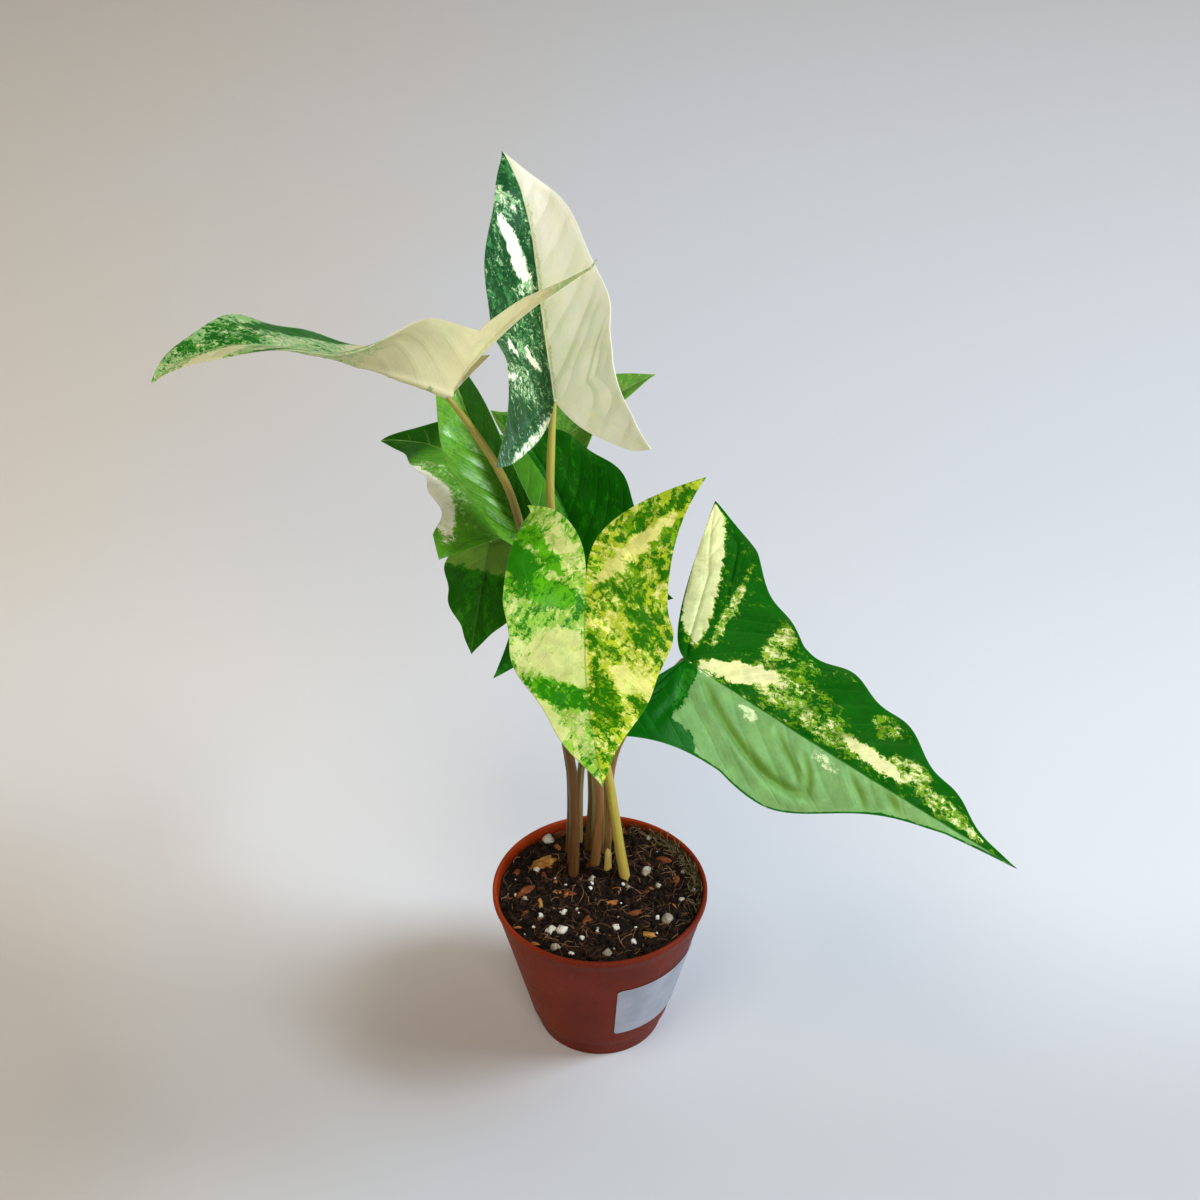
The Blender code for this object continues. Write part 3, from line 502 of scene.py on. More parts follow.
def crease_relief(s, t, creases):
    """Height of the creases, and how much painted shade a place gets from lying in one (0 to 1)."""
    height, crease_shade_share = np.zeros(len(s)), np.zeros(len(s))
    for depth, width, points in creases:
        points = np.array(points, float)
        nearest, side, place = np.full(len(s), 1e9), np.zeros(len(s)), np.zeros(len(s))
        for i, (a, b) in enumerate(zip(points, points[1:])):
            along = b - a
            u = np.clip(((s - a[0]) * along[0] + (t - a[1]) * along[1]) / (along @ along), 0, 1)
            off_s, off_t = s - a[0] - u * along[0], t - a[1] - u * along[1]
            away = np.hypot(off_s, off_t)
            closer = away < nearest
            nearest = np.where(closer, away, nearest)
            side = np.where(closer, np.sign(along[0] * off_t - along[1] * off_s), side)
            place = np.where(closer, (i + u) / (len(points) - 1), place)
        strength = np.sin(pi * (0.06 + 0.88 * place)) ** 0.6
        away = nearest * side
        swell = bell(away - 2.2 * width, 1.6 * width)
        height += depth * strength * (0.7 * swell - bell(away, width))
        crease_shade_share = np.maximum(crease_shade_share, strength * bell(away + 0.5 * width, 1.1 * width))
    return height, crease_shade_share


def fine_blade(leaf):
    """Vertices, faces and attributes of a blade with its relief on both sides."""
    values, faces = fine_surface(leaf)
    s, t, station, margin, axis, axis_run, across, along = values[:, :8].T
    places = values[:, 8:]
    seed, spacing = leaf["seed"], leaf["veins"]
    right = np.where(t > 0, 1.0, 0.0)
    phase = station / spacing + 0.5 * right
    phase += VEIN_WAVE[2] * np.sin(station * VEIN_WAVE[0] + t * VEIN_WAVE[1])
    near = np.abs(phase - np.round(phase)) * spacing / VEIN_SLANT
    each = 0.75 + 0.45 * np.sin(2.3 * np.round(phase) + seed + 1.7 * right)
    swell = (0.5 - 0.5 * np.cos(2 * pi * phase)) ** 0.8
    quilt = np.where(t > 0, leaf["quilt_right"], leaf["quilt"]) * (1 + (swell - 1) * each)
    bumps = UNEVEN * np.sin(0.33 * s + 0.21 * t + seed) * np.sin(0.27 * t - 0.18 * s + 2 * seed)
    folds, crease_shade_share = crease_relief(s, t, leaf["creases"])
    middle = quilt * grown(margin, QUILT_GROWS[0]) * grown(axis, QUILT_GROWS[1])
    middle += bumps * grown(margin, 3.0) + folds * grown(margin, 2.0)
    vein = bell(near, VEIN_WIDTH) * grown(margin, 2.0) * np.clip(1.2 - axis / 30, 0.3, 1)
    strong = 1 - 0.75 * np.clip(axis_run, 0, 1)
    main = bell(axis, 0.45 + 0.5 * strong) * strong
    thickness = MARGIN_THICKNESS + (LEAF_THICKNESS - MARGIN_THICKNESS) * grown(margin, THIN_MARGIN)
    normal = normals_of(places, faces)
    upper = places + normal * (middle + thickness / 2 - GROOVE * vein - MIDRIB_GROOVE * main)[:, None]
    lower = places + normal * (middle - thickness / 2 - RIDGE * vein - MIDRIB_RIDGE * main)[:, None]
    lists = face_lists(faces)
    rim = rim_of(lists)
    order = list(dict.fromkeys(v for edge in rim for v in edge))
    count, around = len(places), len(order)
    ring = {v: 2 * count + i for i, v in enumerate(order)}
    both = lists + [[v + count for v in reversed(face)] for face in lists]
    both += [[ring[b], ring[a], around + ring[a], around + ring[b]] for a, b in rim]
    vertices = np.vstack([upper, lower, upper[order], lower[order]])
    index = np.concatenate([np.arange(count), np.arange(count), order, order])
    under = np.repeat([0.0, 1.0, 0.0, 1.0], [count, count, around, around])
    return vertices, both, dict(
        flat=np.stack([s, t, station], -1)[index],
        edge=np.stack([margin[index], axis[index], under], -1),
        # The third grain value is the share of shade painted into the creases.
        grain=np.stack([across, along, crease_shade_share], -1)[index],
    )


# Stalks

def stalk_points(leaf):
    """The stalk's centre line from the bottom of its hole to the underside of the blade."""
    foot = np.array([*leaf["stalk"][0], SOIL_TOP])
    place, along, up, side = (rows[0] for rows in spine(leaf, [0.0]))
    rise = unit(np.array(leaf["stalk"][1]) - foot)
    bottom = foot - rise * ((HOLE_DEPTH - GAP) / rise[2])
    entry = place - up * STALK_DROP - along * STALK_BACK
    inside = place - up * BLADE_THICKNESS / 2 + along * STALK_RUN
    return np.vstack([bottom, through([foot, *leaf["stalk"][1:], entry], STALK_POINTS), inside])


def stalk_radius(leaf, count):
    q = np.linspace(0, 1, count)
    swell = np.clip(1 - q / SHEATH, 0, 1) ** SHEATH_BEND
    body = STALK_TOP + (STALK_MIDDLE - STALK_TOP) * (1 - q)
    body = leaf["thick"] * body + (STALK_BASE - leaf["thick"] * STALK_MIDDLE) * swell
    body[-1] = STALK_END
    body[-2] = 0.5 * (STALK_END + leaf["thick"] * STALK_TOP)
    return body


def fine_stalk(leaf):
    """Vertices, faces and run attribute of a stalk with its channel and sheath."""
    points = stalk_points(leaf)
    run = run_along(points)
    line = np.vstack([points[0], through(points[1:-1], STALK_RINGS), points[-1]])
    where = np.concatenate([[0], np.linspace(run[1], run[-2], STALK_RINGS), [run[-1]]])
    radius = np.interp(where, run, stalk_radius(leaf, len(points)))[:, None] * SLIM
    above = (where - run[1])[:, None]
    share = grown(above, run[-1] - run[1])
    tangent = unit(np.gradient(line, axis=0))
    inward = np.array([PLANT_MIDDLE[0] - line[0][0], PLANT_MIDDLE[1] - line[0][1], 0.0])
    sides = []
    for direction in tangent:
        inward = unit(inward - direction * (inward @ direction))
        sides.append(inward)
    angle = circle(STALK_SIDES)
    off = np.minimum(angle, 2 * pi - angle)
    amount = np.clip(1.25 - share / 0.42, 0.0, 1.0) * grown(above, 4.0)
    upper = UPPER_CHANNEL * grown(share, 0.5) * (1 - share ** 6)
    wing, channel = bell(off - WING_PLACE[0], WING_PLACE[1]), bell(off, CHANNEL_WIDTH)
    radius = radius * (1 + WING * amount * wing - (CHANNEL * amount + upper) * channel)
    radius = radius * (1 + 0.02 * np.sin(5 * angle + leaf["seed"]))
    vertices = rings_round(line, tangent, np.array(sides), radius, angle)
    run = np.stack(np.broadcast_arrays(share, angle / (2 * pi), above), -1).reshape(-1, 3)
    return vertices, tube(len(line), STALK_SIDES), run


# Meshes

def mesh_object(name, vertices, faces, looks, index=None, attributes=None):
    mesh = bpy.data.meshes.new(name)
    mesh.from_pydata((np.asarray(vertices) * MM).tolist(), [], faces)
    for look in looks:
        mesh.materials.append(look)
    if index is not None:
        mesh.polygons.foreach_set("material_index", np.asarray(index, np.int32))
    mesh.polygons.foreach_set("use_smooth", np.full(len(mesh.polygons), True))
    for key, values in (attributes or {}).items():
        made = mesh.attributes.new(key, "FLOAT_VECTOR", "POINT")
        made.data.foreach_set("vector", np.asarray(values, np.float32).ravel())
    mesh.update()
    return shown(name, mesh)


def shown(name, data):
    item = bpy.data.objects.new(name, data)
    bpy.context.scene.collection.objects.link(item)
    return item


def hand_over(item, node=None):
    """Gives a piece to the frame, in place of a node where one is named."""
    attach(item, "root")
    if node:
        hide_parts(node)


def joined(name, parts, looks):
    """One piece of the soil's finish from many small parts: points, faces and number of the look."""
    vertices, faces, index = [], [], []
    base = 0
    for points, own_faces, which in parts:
        vertices.append(points)
        faces += [[v + base for v in face] for face in own_faces]
        index += [which] * len(own_faces)
        base += len(points)
    hand_over(mesh_object(name, np.vstack(vertices), faces, looks, index))


def rough(x, y, z):
    return noise.noise(Vector((x, y, z)))


# Node materials

def srgb(text):
    """A linear colour from six hexadecimal digits."""
    made = []
    for i in (0, 2, 4):
        c = int(text[i:i + 2], 16) / 255
        made.append(c / 12.92 if c <= 0.04045 else ((c + 0.055) / 1.055) ** 2.4)
    return (*made, 1.0)


class Value:
    """What a node gives: a number, or a vector or colour. It can be reckoned with like one."""

    def __init__(self, graph, socket):
        self.graph = graph
        self.socket = socket

    def __add__(self, other):
        return self.graph.reckon("ADD", self, other)

    def __mul__(self, other):
        return self.graph.reckon("MULTIPLY", self, other)

    def __sub__(self, other):
        return self.graph.reckon("SUBTRACT", self, other)

    def __rsub__(self, other):
        return self.graph.reckon("SUBTRACT", other, self)

    __radd__ = __add__
    __rmul__ = __mul__


class Graph:
    """A node material under construction. A colour is given as six hexadecimal digits."""

    def __init__(self, name):
        self.look = bpy.data.materials.new(name)
        self.look.use_nodes = True
        self.nodes = self.look.node_tree.nodes
        self.shader = self.nodes["Principled BSDF"]

    def feed(self, node, values):
        """Sets or links a node's inputs, which are given by number or name."""
        for key, value in values.items():
            if isinstance(value, Value):
                self.look.node_tree.links.new(value.socket, node.inputs[key])
            else:
                node.inputs[key].default_value = srgb(value) if isinstance(value, str) else value

    def new(self, kind, *values, **named):
        node = self.nodes.new("ShaderNode" + kind)
        self.feed(node, dict(enumerate(values)) | named)
        return node

    def reckon(self, operation, *values):
        """What an operation gives for numbers or, where one of them is a vector or colour, for vectors."""
        whole = any(isinstance(v, tuple) or isinstance(v, Value) and v.socket.type != "VALUE" for v in values)
        node = self.new("VectorMath" if whole else "Math", *values)
        node.operation = operation
        return Value(self, node.outputs["Value" if operation == "LENGTH" else 0])

    def vector(self, x, y, z=0.0):
        return Value(self, self.new("CombineXYZ", x, y, z).outputs[0])

    def parts(self, value):
        return [Value(self, output) for output in self.new("SeparateXYZ", value).outputs]

    def attribute(self, name):
        node = self.new("Attribute")
        node.attribute_name = name
        return Value(self, node.outputs["Vector"])

    def place(self, stretch=(1.0, 1.0, 1.0)):
        """The place on the object in millimetres."""
        return Value(self, self.new("TexCoord").outputs["Object"]) * tuple(c / MM for c in stretch)

    def noise(self, vector, scale, detail=3.0, rough=0.6, output="Fac"):
        return Value(self, self.new("TexNoise", Vector=vector, Scale=scale, Detail=detail,
                                    Roughness=rough).outputs[output])

    def net(self, vector):
        """Distance from the walls of a net of cells."""
        node = self.new("TexVoronoi")
        node.feature = "DISTANCE_TO_EDGE"
        self.feed(node, {"Vector": vector, "Scale": 1.0})
        return Value(self, node.outputs["Distance"])

    def ramp(self, value, low, high, start=0.0, end=1.0):
        """A smooth step from start, where the value is low, to end, where it is high."""
        node = self.new("MapRange")
        node.interpolation_type = "SMOOTHSTEP"
        self.feed(node, dict(enumerate((value, low, high, start, end))))
        return Value(self, node.outputs[0])

    def mix(self, share, a, b):
        """The colour b where the share is 1, a where it is 0."""
        node = self.new("Mix")
        node.data_type = "RGBA"
        self.feed(node, {0: share, 6: a, 7: b})
        return Value(self, node.outputs[2])

    def blend(self, share, a, b):
        """Like mix, for three plain numbers, which may be negative."""
        node = self.new("Mix")
        node.data_type = "VECTOR"
        self.feed(node, {0: share, 4: a, 5: b})
        return Value(self, node.outputs[1])

    def patch(self, plain, s, t, long, short, angle):
        """1 inside an ellipse round (s, t), whose long radius is turned from the tip's direction."""
        node = self.new("Mapping")
        node.vector_type = "TEXTURE"
        self.feed(node, dict(Vector=plain, Location=(s, t, 0), Rotation=(0, 0, radians(angle)),
                             Scale=(long, short, 1)))
        return self.ramp(self.reckon("LENGTH", Value(self, node.outputs[0])), *AREA_EDGE, 1.0, 0.0)

    def bump(self, height, strength, distance):
        node = self.new("Bump", Height=height, Strength=strength, Distance=distance * MM)
        self.feed(self.shader, {"Normal": Value(self, node.outputs[0])})

    def finish(self, colour, roughness, specular=0.5, subsurface=0.0, depth=1.0, spread=(1.0, 0.5, 0.3)):
        self.feed(self.shader, {
            "Base Color": colour, "Roughness": roughness, "Specular IOR Level": specular,
            "Subsurface Weight": subsurface, "Subsurface Scale": depth * MM, "Subsurface Radius": spread,
        })
        return self.look


# What shows on a blade. Distances s (from the junction towards the tip) and t (negative on the left) are the
# flat ones. A blade has an upper and a lower green; each shows where its value is above 0.
# seed: start of its noise, veins: their distance, quilt: swell between them, creases: depth, width, points,
# tones: colours with neither green, only the lower, only the upper, both, shows: upper, lower and how loose
# the mottling is, _right: the same on the right half where it differs, areas: s, t, long radius, short
# radius, the long one's angle, then upper, lower and loose, later ones over earlier ones, broad: spans of
# the broad mottling across and along the veins, flecks: stretch of the fine one, mottle, fine: strengths of
# both, grain, cloud: those of two shades, soft: width of the greens' edges, relief: strength of the fine
# relief, rough: the least roughness, vein_wide, vein_show: width and strength of the side veins, vein_cream,
# vein_pale, vein_green: their colours with neither green, only the lower, the upper, rib, rib_show: the
# midrib's colour and strength, crease_shade_colour: the colour of the shade painted into the creases,
# below: a colour that the underside takes up, margin: width and strength of a green edge, dark_tip: where
# the tip's own colour starts and where it is full, and that colour.
USUAL = dict(
    quilt=0.16, creases=(), areas=(), broad=(5.2, 3.6), flecks=(1.0, 1.0), mottle=1.0, fine=1.0,
    soft=(0.2, 0.4), grain=0.35, cloud=0.9, relief=0.5, rough=0.3, specular=0.14, subsurface=0.12,
    vein_wide=0.06, vein_show=0.4, vein_cream="B9C48A", vein_pale="A9CF9A", vein_green="5FA545", rib="B7C77F",
    rib_show=0.5, below="A9BF8F",
)
LOOKS = dict(
    leaf_front=dict(
        seed=1, veins=9.5, quilt=0.3, mottle=0.8, soft=(0.4, 0.6),
        tones=("DEE08C", "AEC22C", "7CA80C", "2C7602"), tones_right=("C0C680", "88B03C", "58A010", "267602"),
        flecks=(1.7, 1.4), broad=(3.2, 7), fine=0.8, shows=(-0.3, 0.4, 1), shows_right=(-0.5, 0.3, 1),
        areas=(
            (44, -4, 11, 6, -5, 0.2, 0.7, 1.2), (28, -12, 12, 6.5, -8, -1.5, -0.5, 1.1),
            (15, -9, 6, 8, 0, -0.5, 0.5, 1.2), (26, -8.5, 8, 3, 0, -2, -1.2, 0.9),
            (34, -13, 6, 2.6, -30, 1.3, 0.9, 1.3), (31, -4.2, 10, 4.2, 4, 1.3, 0.9, 1.2),
            (14, -2.2, 9, 1.8, 0, 1.2, 0.5, 1.2), (11.5, -17, 4, 6, 15, 1.3, 0.7, 1.3),
            (3.5, -16, 4, 6.5, 12, 1.5, 0.9, 1.3), (6, -6, 3, 5, 0, -1, 0.1, 1.2),
            (0.5, -11, 2, 10, 10, 0.3, -0.4, 1.1), (-2.8, -10, 1.8, 9, 28, 1.2, 0.7, 1.2),
            (-9, -20, 11, 4.5, -118, 0.6, 0.7, 1.2), (-17, -22, 12, 2.2, -117, 1.7, 0.2, 1.2),
            (-13, -12, 14, 2.6, -128, -1.8, -1.6, 1.2), (-21, -14, 8, 1.8, -132, 1.1, 0.6, 1.2),
            (-25, -25, 6, 2.2, -110, 1.6, 0.8, 1.2), (46, 3.5, 9, 4.5, 0, -1, 0.6, 1.2),
            (35, 12.5, 9, 3.2, -32, -2.4, -1.6, 0.9), (36, 5.5, 4, 5, 0, -1.2, 0, 1.2),
            (28.5, 8.5, 9.5, 4.2, 95, 1.9, 1.2, 1.4), (15.5, 8, 9.5, 8, 90, -3.4, -1.1, 0.8),
            (21, 4, 4, 4.5, 0, -3.6, -1.6, 0.6), (11, 5, 3, 4, 0, -3, -1.4, 0.7),
            (17, 17.5, 8, 3, 0, -1.9, -1.4, 1.1), (11, 18, 3.5, 3.5, 0, 0.2, 0.6, 1.3),
            (5, 9, 12, 3.2, 80, -0.4, 0.9, 1.3), (-1.5, 11, 12, 3.6, 98, 1.9, -0.5, 1),
            (-3, 18, 5, 3, 110, 1.6, 1.2, 1.2), (-10, 21, 8, 4.2, 120, 2.3, 1.8, 1.1),
            (-20, 24.5, 9, 3.2, 122, 1.4, -1, 1.1), (-13, 13, 13, 2.6, 126, 1.6, -0.4, 1.1),
            (-15, 9, 11, 2.8, 130, -1.8, -1.2, 1.1), (-7, 3.8, 6, 1.8, 130, -1.2, 0.3, 1.1),
        ),
        # The dark olive rib colour 3E7414 is painted shade of the midrib's groove.
        rib="3E7414", rib_show=0.5, vein_cream="C9CF7E", vein_show=0.25, subsurface=0.15, specular=0.1,
    ),
    leaf_right=dict(
        seed=2, veins=9, quilt=0.3, quilt_right=0.25, mottle=0.8, flecks=(1.7, 0.85),
        creases=(
            (1.7, 1.2, ((7, 2.5), (13, 7), (20, 10.5), (28, 13.5), (36, 15), (43, 14.5), (47, 13))),
            (0.8, 0.9, ((31, 3), (35, 6), (40, 9), (44, 12.5))),
            (0.9, 0.9, ((40, 4.5), (43.5, 7.5), (45.5, 10.5), (46, 13))),
            (0.8, 1, ((53, 2), (58, 5.5), (61, 8))), (0.6, 1.2, ((64, 1.5), (69, 4))),
            (0.5, 1.4, ((30, -2), (36, -8), (40, -15))), (0.5, 1.4, ((42, -2), (49, -8), (53, -13))),
            (0.5, 1.2, ((2, 3), (5, 12), (4, 22))),
        ),
        # 5E8420 is the olive shade painted into the creases.
        crease_shade_colour="5E8420", tones=("E4EAB4", "94B83C", "74A418", "086202"),
        tones_right=("CFE0AE", "7CA668", "2A7E1E", "086408"), shows=(2.4, 1.6, 1),
        shows_right=(-4, 3.6, 0.35),
        areas=(
            (70, -12, 14, 3.2, -12, 4.6, 4, 0.8), (45, -14, 9, 5, 0, 4.4, 3.6, 0.9),
            (78, -3.6, 10, 2.6, 8, 0.5, -0.3, 1.3), (92, -2, 9, 1.6, 0, -0.7, -0.3, 1.1),
            (66, -7, 7, 4, 0, -0.1, -0.2, 1.5), (55, -14, 5, 3, 0, 0.8, 0, 1.4),
            (42, -5, 11, 3.8, 5, 0.4, -0.3, 1.5), (38, -10, 9, 3, 0, 1.9, 0.9, 1.4),
            (28, -13, 6, 6, 0, 1.5, 0.9, 1.4), (26, -7, 8, 5, 0, 0.3, -0.1, 1.5),
            (19, -17, 8, 3.6, -80, -0.6, 0.3, 1.4), (56, -4.8, 10, 1.9, 5, -4.5, -3.4, 0.8),
            (13, -4.6, 12, 2.9, -25, -5.5, -4.6, 0.6), (20, -0.9, 16, 0.9, 0, 1.6, 1, 1.3),
            (9.5, -15.5, 9.5, 4.6, -76, 4.4, 2, 0.8), (2.4, -18, 12, 1.5, -96, -0.3, 0.2, 1.4),
            (-6, -32, 10, 3.4, -122, 3.2, 2, 1), (-9.5, -23, 21, 4.6, -115, -6, -4.6, 0.6),
            (-1.5, 14, 18, 8.2, 88, 5.4, 3.6, 0.9), (10, 24, 7, 6, 0, 5.4, 4.6, 0.9),
            (4, 8, 9, 2, 80, 5.4, -0.6, 0.7), (74, 6.6, 12, 2.2, -13, 5.4, 4.6, 0.8),
            (22, 3.2, 4.2, 2.2, 20, -4, -0.2, 0.6), (46, 2.8, 6, 1.8, 10, -4, -0.1, 0.6),
        ),
        margin=(1.1, 4.5), rib="2C6E1E", rib_show=0.75, vein_pale="4F8A34", vein_green="2F7A22",
        vein_show=0.45, vein_wide=0.12, subsurface=0.08, specular=0.1,
    ),
    leaf_top=dict(
        seed=3, veins=9.5, quilt=0.2, quilt_right=0.4, mottle=0.85,
        tones=("F1F4DC", "8CB684", "478850", "174F28"), tones_right=("FAFFE4", "DCEAC0", "9CBF78", "7FA860"),
        grain=0.15, cloud=0.25, relief=0.25, shows=(1.2, 0.9, 1), shows_right=(-5, -4.4, 0.5),
        areas=(
            (56, -8, 9, 4.5, -30, -0.5, 1.2, 1.1), (61, -3.4, 7, 3, 0, 1.8, 0.6, 1),
            (28, -13, 9, 9, 0, 1.9, 0.8, 1.1), (17, -14, 8, 12, 0, 1.1, 0.5, 1.4),
            (40, -6.8, 10, 2.5, -17, -4.4, -3.4, 1.1), (41, -2, 9, 1.6, -6, 2.2, 1.4, 1.2),
            (30, -6, 2, 5, 0, -1, 0.4, 1.2), (12.5, -18, 3.4, 1.4, -40, -4, -2.4, 0.9),
            (10, -8.4, 4.4, 1.3, -40, -4, -2.6, 0.9), (13, -12.5, 3.4, 2.2, 0, -0.6, 1.6, 0.9),
            (0, -18, 7, 10, 0, 0.3, 0.5, 1.5), (-1, -24, 4.5, 1.2, -110, -3, -1.6, 1.1),
            (-14, -25, 14, 5, -125, 1.8, 1.8, 1.1), (-17, -14.5, 18, 1.3, -133, -2.6, -1.2, 1.7),
            (26, 1, 34, 0.7, 0, -5, 0.8, 0.8),
        ),
        rib="4E8A4A", rib_show=0.25, vein_cream="E4E8C4", vein_green="4E8F4A", vein_show=0.25, subsurface=0.5,
    ),
    leaf_left=dict(
        seed=4, veins=8.5, mottle=0.85, tones=("C8C69E", "8AB070", "4F9038", "185C0C"),
        tones_right=("C8C69E", "88B074", "479034", "146210"), grain=0.2, cloud=0.3, relief=0.3,
        shows=(-1, 0.6, 1), shows_right=(-1, 0.9, 1),
        areas=(
            (0, 0, 24, 70, 0, -5.5, -5, 0.4), (37, 14, 18, 3, -21, 3, 1.8, 1),
            (60, 4, 12, 5.5, 0, 0.9, 1, 1.3), (64, 6, 3, 2, 0, -1.2, 1.4, 1),
            (66, -5, 13, 3, -12, -3.6, -2.4, 0.8), (55, -12, 9, 2.2, -14, 3.4, 2.2, 1),
            (10, 2.6, 7, 1.6, 30, 2.6, 0.2, 0.8),
        ),
        rib="C9CB9A", rib_show=0.4, below="CFCBA6", vein_cream="C2C79A", vein_show=0.35, subsurface=0.45,
    ),
    leaf_left_back=dict(
        seed=5, veins=8, mottle=0.7, tones=("FAFCE4", "A8C884", "8CB454", "5C9C2A"),
        tones_right=("FAFCE4", "A8C884", "7CAC48", "549428"), shows=(2.4, 1.4, 0.9),
        shows_right=(2.8, 2, 0.9),
        areas=(
            (24, -12, 20, 5, 5, 0.2, 1.6, 0.9), (24, -18, 26, 4.4, 5, -5, -3.6, 0.7),
            (54, -2, 16, 16, 0, 5, 5, 0.5),
        ),
        dark_tip=(38, 46, "1C5A00"), rib="8DB664", rib_show=0.6, vein_green="7DB855", vein_show=0.5,
        subsurface=0.35,
    ),
    leaf_glossy=dict(
        seed=6, veins=7.5, quilt=0.5, mottle=0.7, fine=0.5, soft=(0.2, 1.4),
        tones=("A8C078", "8CB864", "78B43C", "449010"), tones_right=("8CB050", "64A030", "3E8C14", "1E6C04"),
        shows=(3.4, -0.4, 0.8), shows_right=(3.4, 1, 0.8), rib="9CC070", rib_show=0.6, vein_green="2F8410",
        vein_show=0.7, rough=0.2, specular=0.8, subsurface=0.08,
    ),
    leaf_hanging=dict(
        seed=7, veins=7, fine=0.5, tones=("7CA840", "6CA030", "328204", "206400"), shows=(3, 0.8, 0.9),
        areas=((1, 0, 7.5, 40, 0, -2.2, -1.6, 0.9),), rib="5D8F3A", vein_green="3F7F28", vein_show=0.3,
        specular=0.12, subsurface=0,
    ),
    leaf_dark=dict(
        seed=8, veins=8, quilt=0.1, fine=0.5, tones=("5E9030", "4F8A1C", "248202", "106400"),
        shows=(3, 0.8, 0.9), rib="3F7C2C", vein_green="2C7A20", vein_show=0.3, specular=0.12,
        subsurface=0,
    ),
    leaf_small=dict(
        seed=9, veins=7, fine=0.6, tones=("C5D6A0", "9CC078", "7CA84C", "5F9636"), shows=(1.8, 0.4, 1),
        rib="A5C480", vein_green="9CC680", vein_show=0.4, subsurface=0.12,
    ),
)
# Stalk colours: foot, lower part, middle, below the blade, flecks, sheath edge
BACK_STALK = ("84602E", "7C6A30", "7E8A48", "86A04C", "6A3F2A", "A99A62")
DARK_STALK = ("84603F", "7E6A3E", "6E7A38", "668A38", "6A3F2A", "A99A62")
STALK_TONES = dict(
    leaf_front=("8C6636", "967046", "948252", "9AA650", "6A3F2A", "C4AA78"),
    leaf_right=("8C6C38", "967046", "96845A", "9DAA58", "6A3F2A", "C4AE76"),
    leaf_top=("B9A452", "B5A848", "A9A23C", "B5B052", "7D5A2C", "D3CB72"),
    leaf_left=("6A4826", "6C4A26", "7E5C2A", "9C9644", "5A3420", "A08A4C"),
    leaf_left_back=BACK_STALK, leaf_glossy=BACK_STALK, leaf_hanging=DARK_STALK, leaf_dark=DARK_STALK,
    leaf_small=("84603F", "7E6A3E", "7E8A48", "86A04C", "6A3F2A", "A99A62"),
    stub=("A08038", "C4A850", "D2BC64", "DCCB80", "8A5A30", "E4D694"),
)


# Leaves

def blade_tone(g, leaf, s, t, margin, grain):
    """A blade's colour without its veins, where its two greens show, and a fine grain."""
    seed = leaf["seed"]
    right = g.ramp(t, -0.1, 0.1)
    flat = g.vector(s, t, seed)
    warp = (g.noise(flat, 0.4, 5.0, 0.75, "Color") - MIDDLE) * (WARP, WARP, 0.0)
    plain = g.vector(s, t) + warp
    values = g.blend(right, leaf["shows"], leaf["shows_right"])
    for *where, upper, lower, loose in leaf["areas"]:
        values = g.blend(g.patch(plain, *where), values, (upper, lower, loose))
    *greens, loose = g.parts(values)
    if "margin" in leaf:
        width, strength = leaf["margin"]
        rim = g.ramp(margin, 0.3 * width, width, strength, 0.0)
        greens = [green + rim for green in greens]
    wide, long = leaf["broad"]
    seen = grain * (1 / wide, 1 / long, 0.0) + (seed * 3.1, seed * 1.7, seed * 2.3)
    broad = g.parts(g.noise(seen, 1.0, 6.0, 0.7, "Color"))
    long, wide = leaf["flecks"]
    seen = plain * (1 / long, 1 / wide, 1.0) + (seed * 5.3, seed, 0.0)
    fine = g.parts(g.noise(seen, 1 / FINE, 4.0, 0.72, "Color"))
    layers = []
    for green, large, small, soft in zip(greens, broad, fine, leaf["soft"]):
        pull = (large - 0.5) * (BROAD_PULL * leaf["mottle"]) + (small - 0.5) * (FINE_PULL * leaf["fine"])
        layers.append(g.ramp(green + pull * loose, -soft, soft))
    tones = [g.mix(right, first, second) for first, second in zip(leaf["tones"], leaf["tones_right"])]
    low, high = g.mix(layers[1], *tones[:2]), g.mix(layers[1], *tones[2:])
    colour = g.mix(layers[0], low, high)
    if "dark_tip" in leaf:
        start, end, tip = leaf["dark_tip"]
        colour = g.mix(g.ramp(g.parts(plain)[0], start, end), colour, tip)
    drift = g.noise(flat, 0.12, 3.0, 0.55, "Color")
    cloud = g.noise(plain + (0.0, 0.0, seed), 0.22, 5.0, 0.65)
    thin = g.noise(grain * (0.8, 0.5, 0.0), 1.0, 4.0, 0.65)
    grey = 1.0 + (thin - 0.5) * leaf["grain"] + (cloud - 0.5) * leaf["cloud"]
    return colour * ((drift - MIDDLE) * (0.22, 0.16, 0.26) + grey), layers, thin


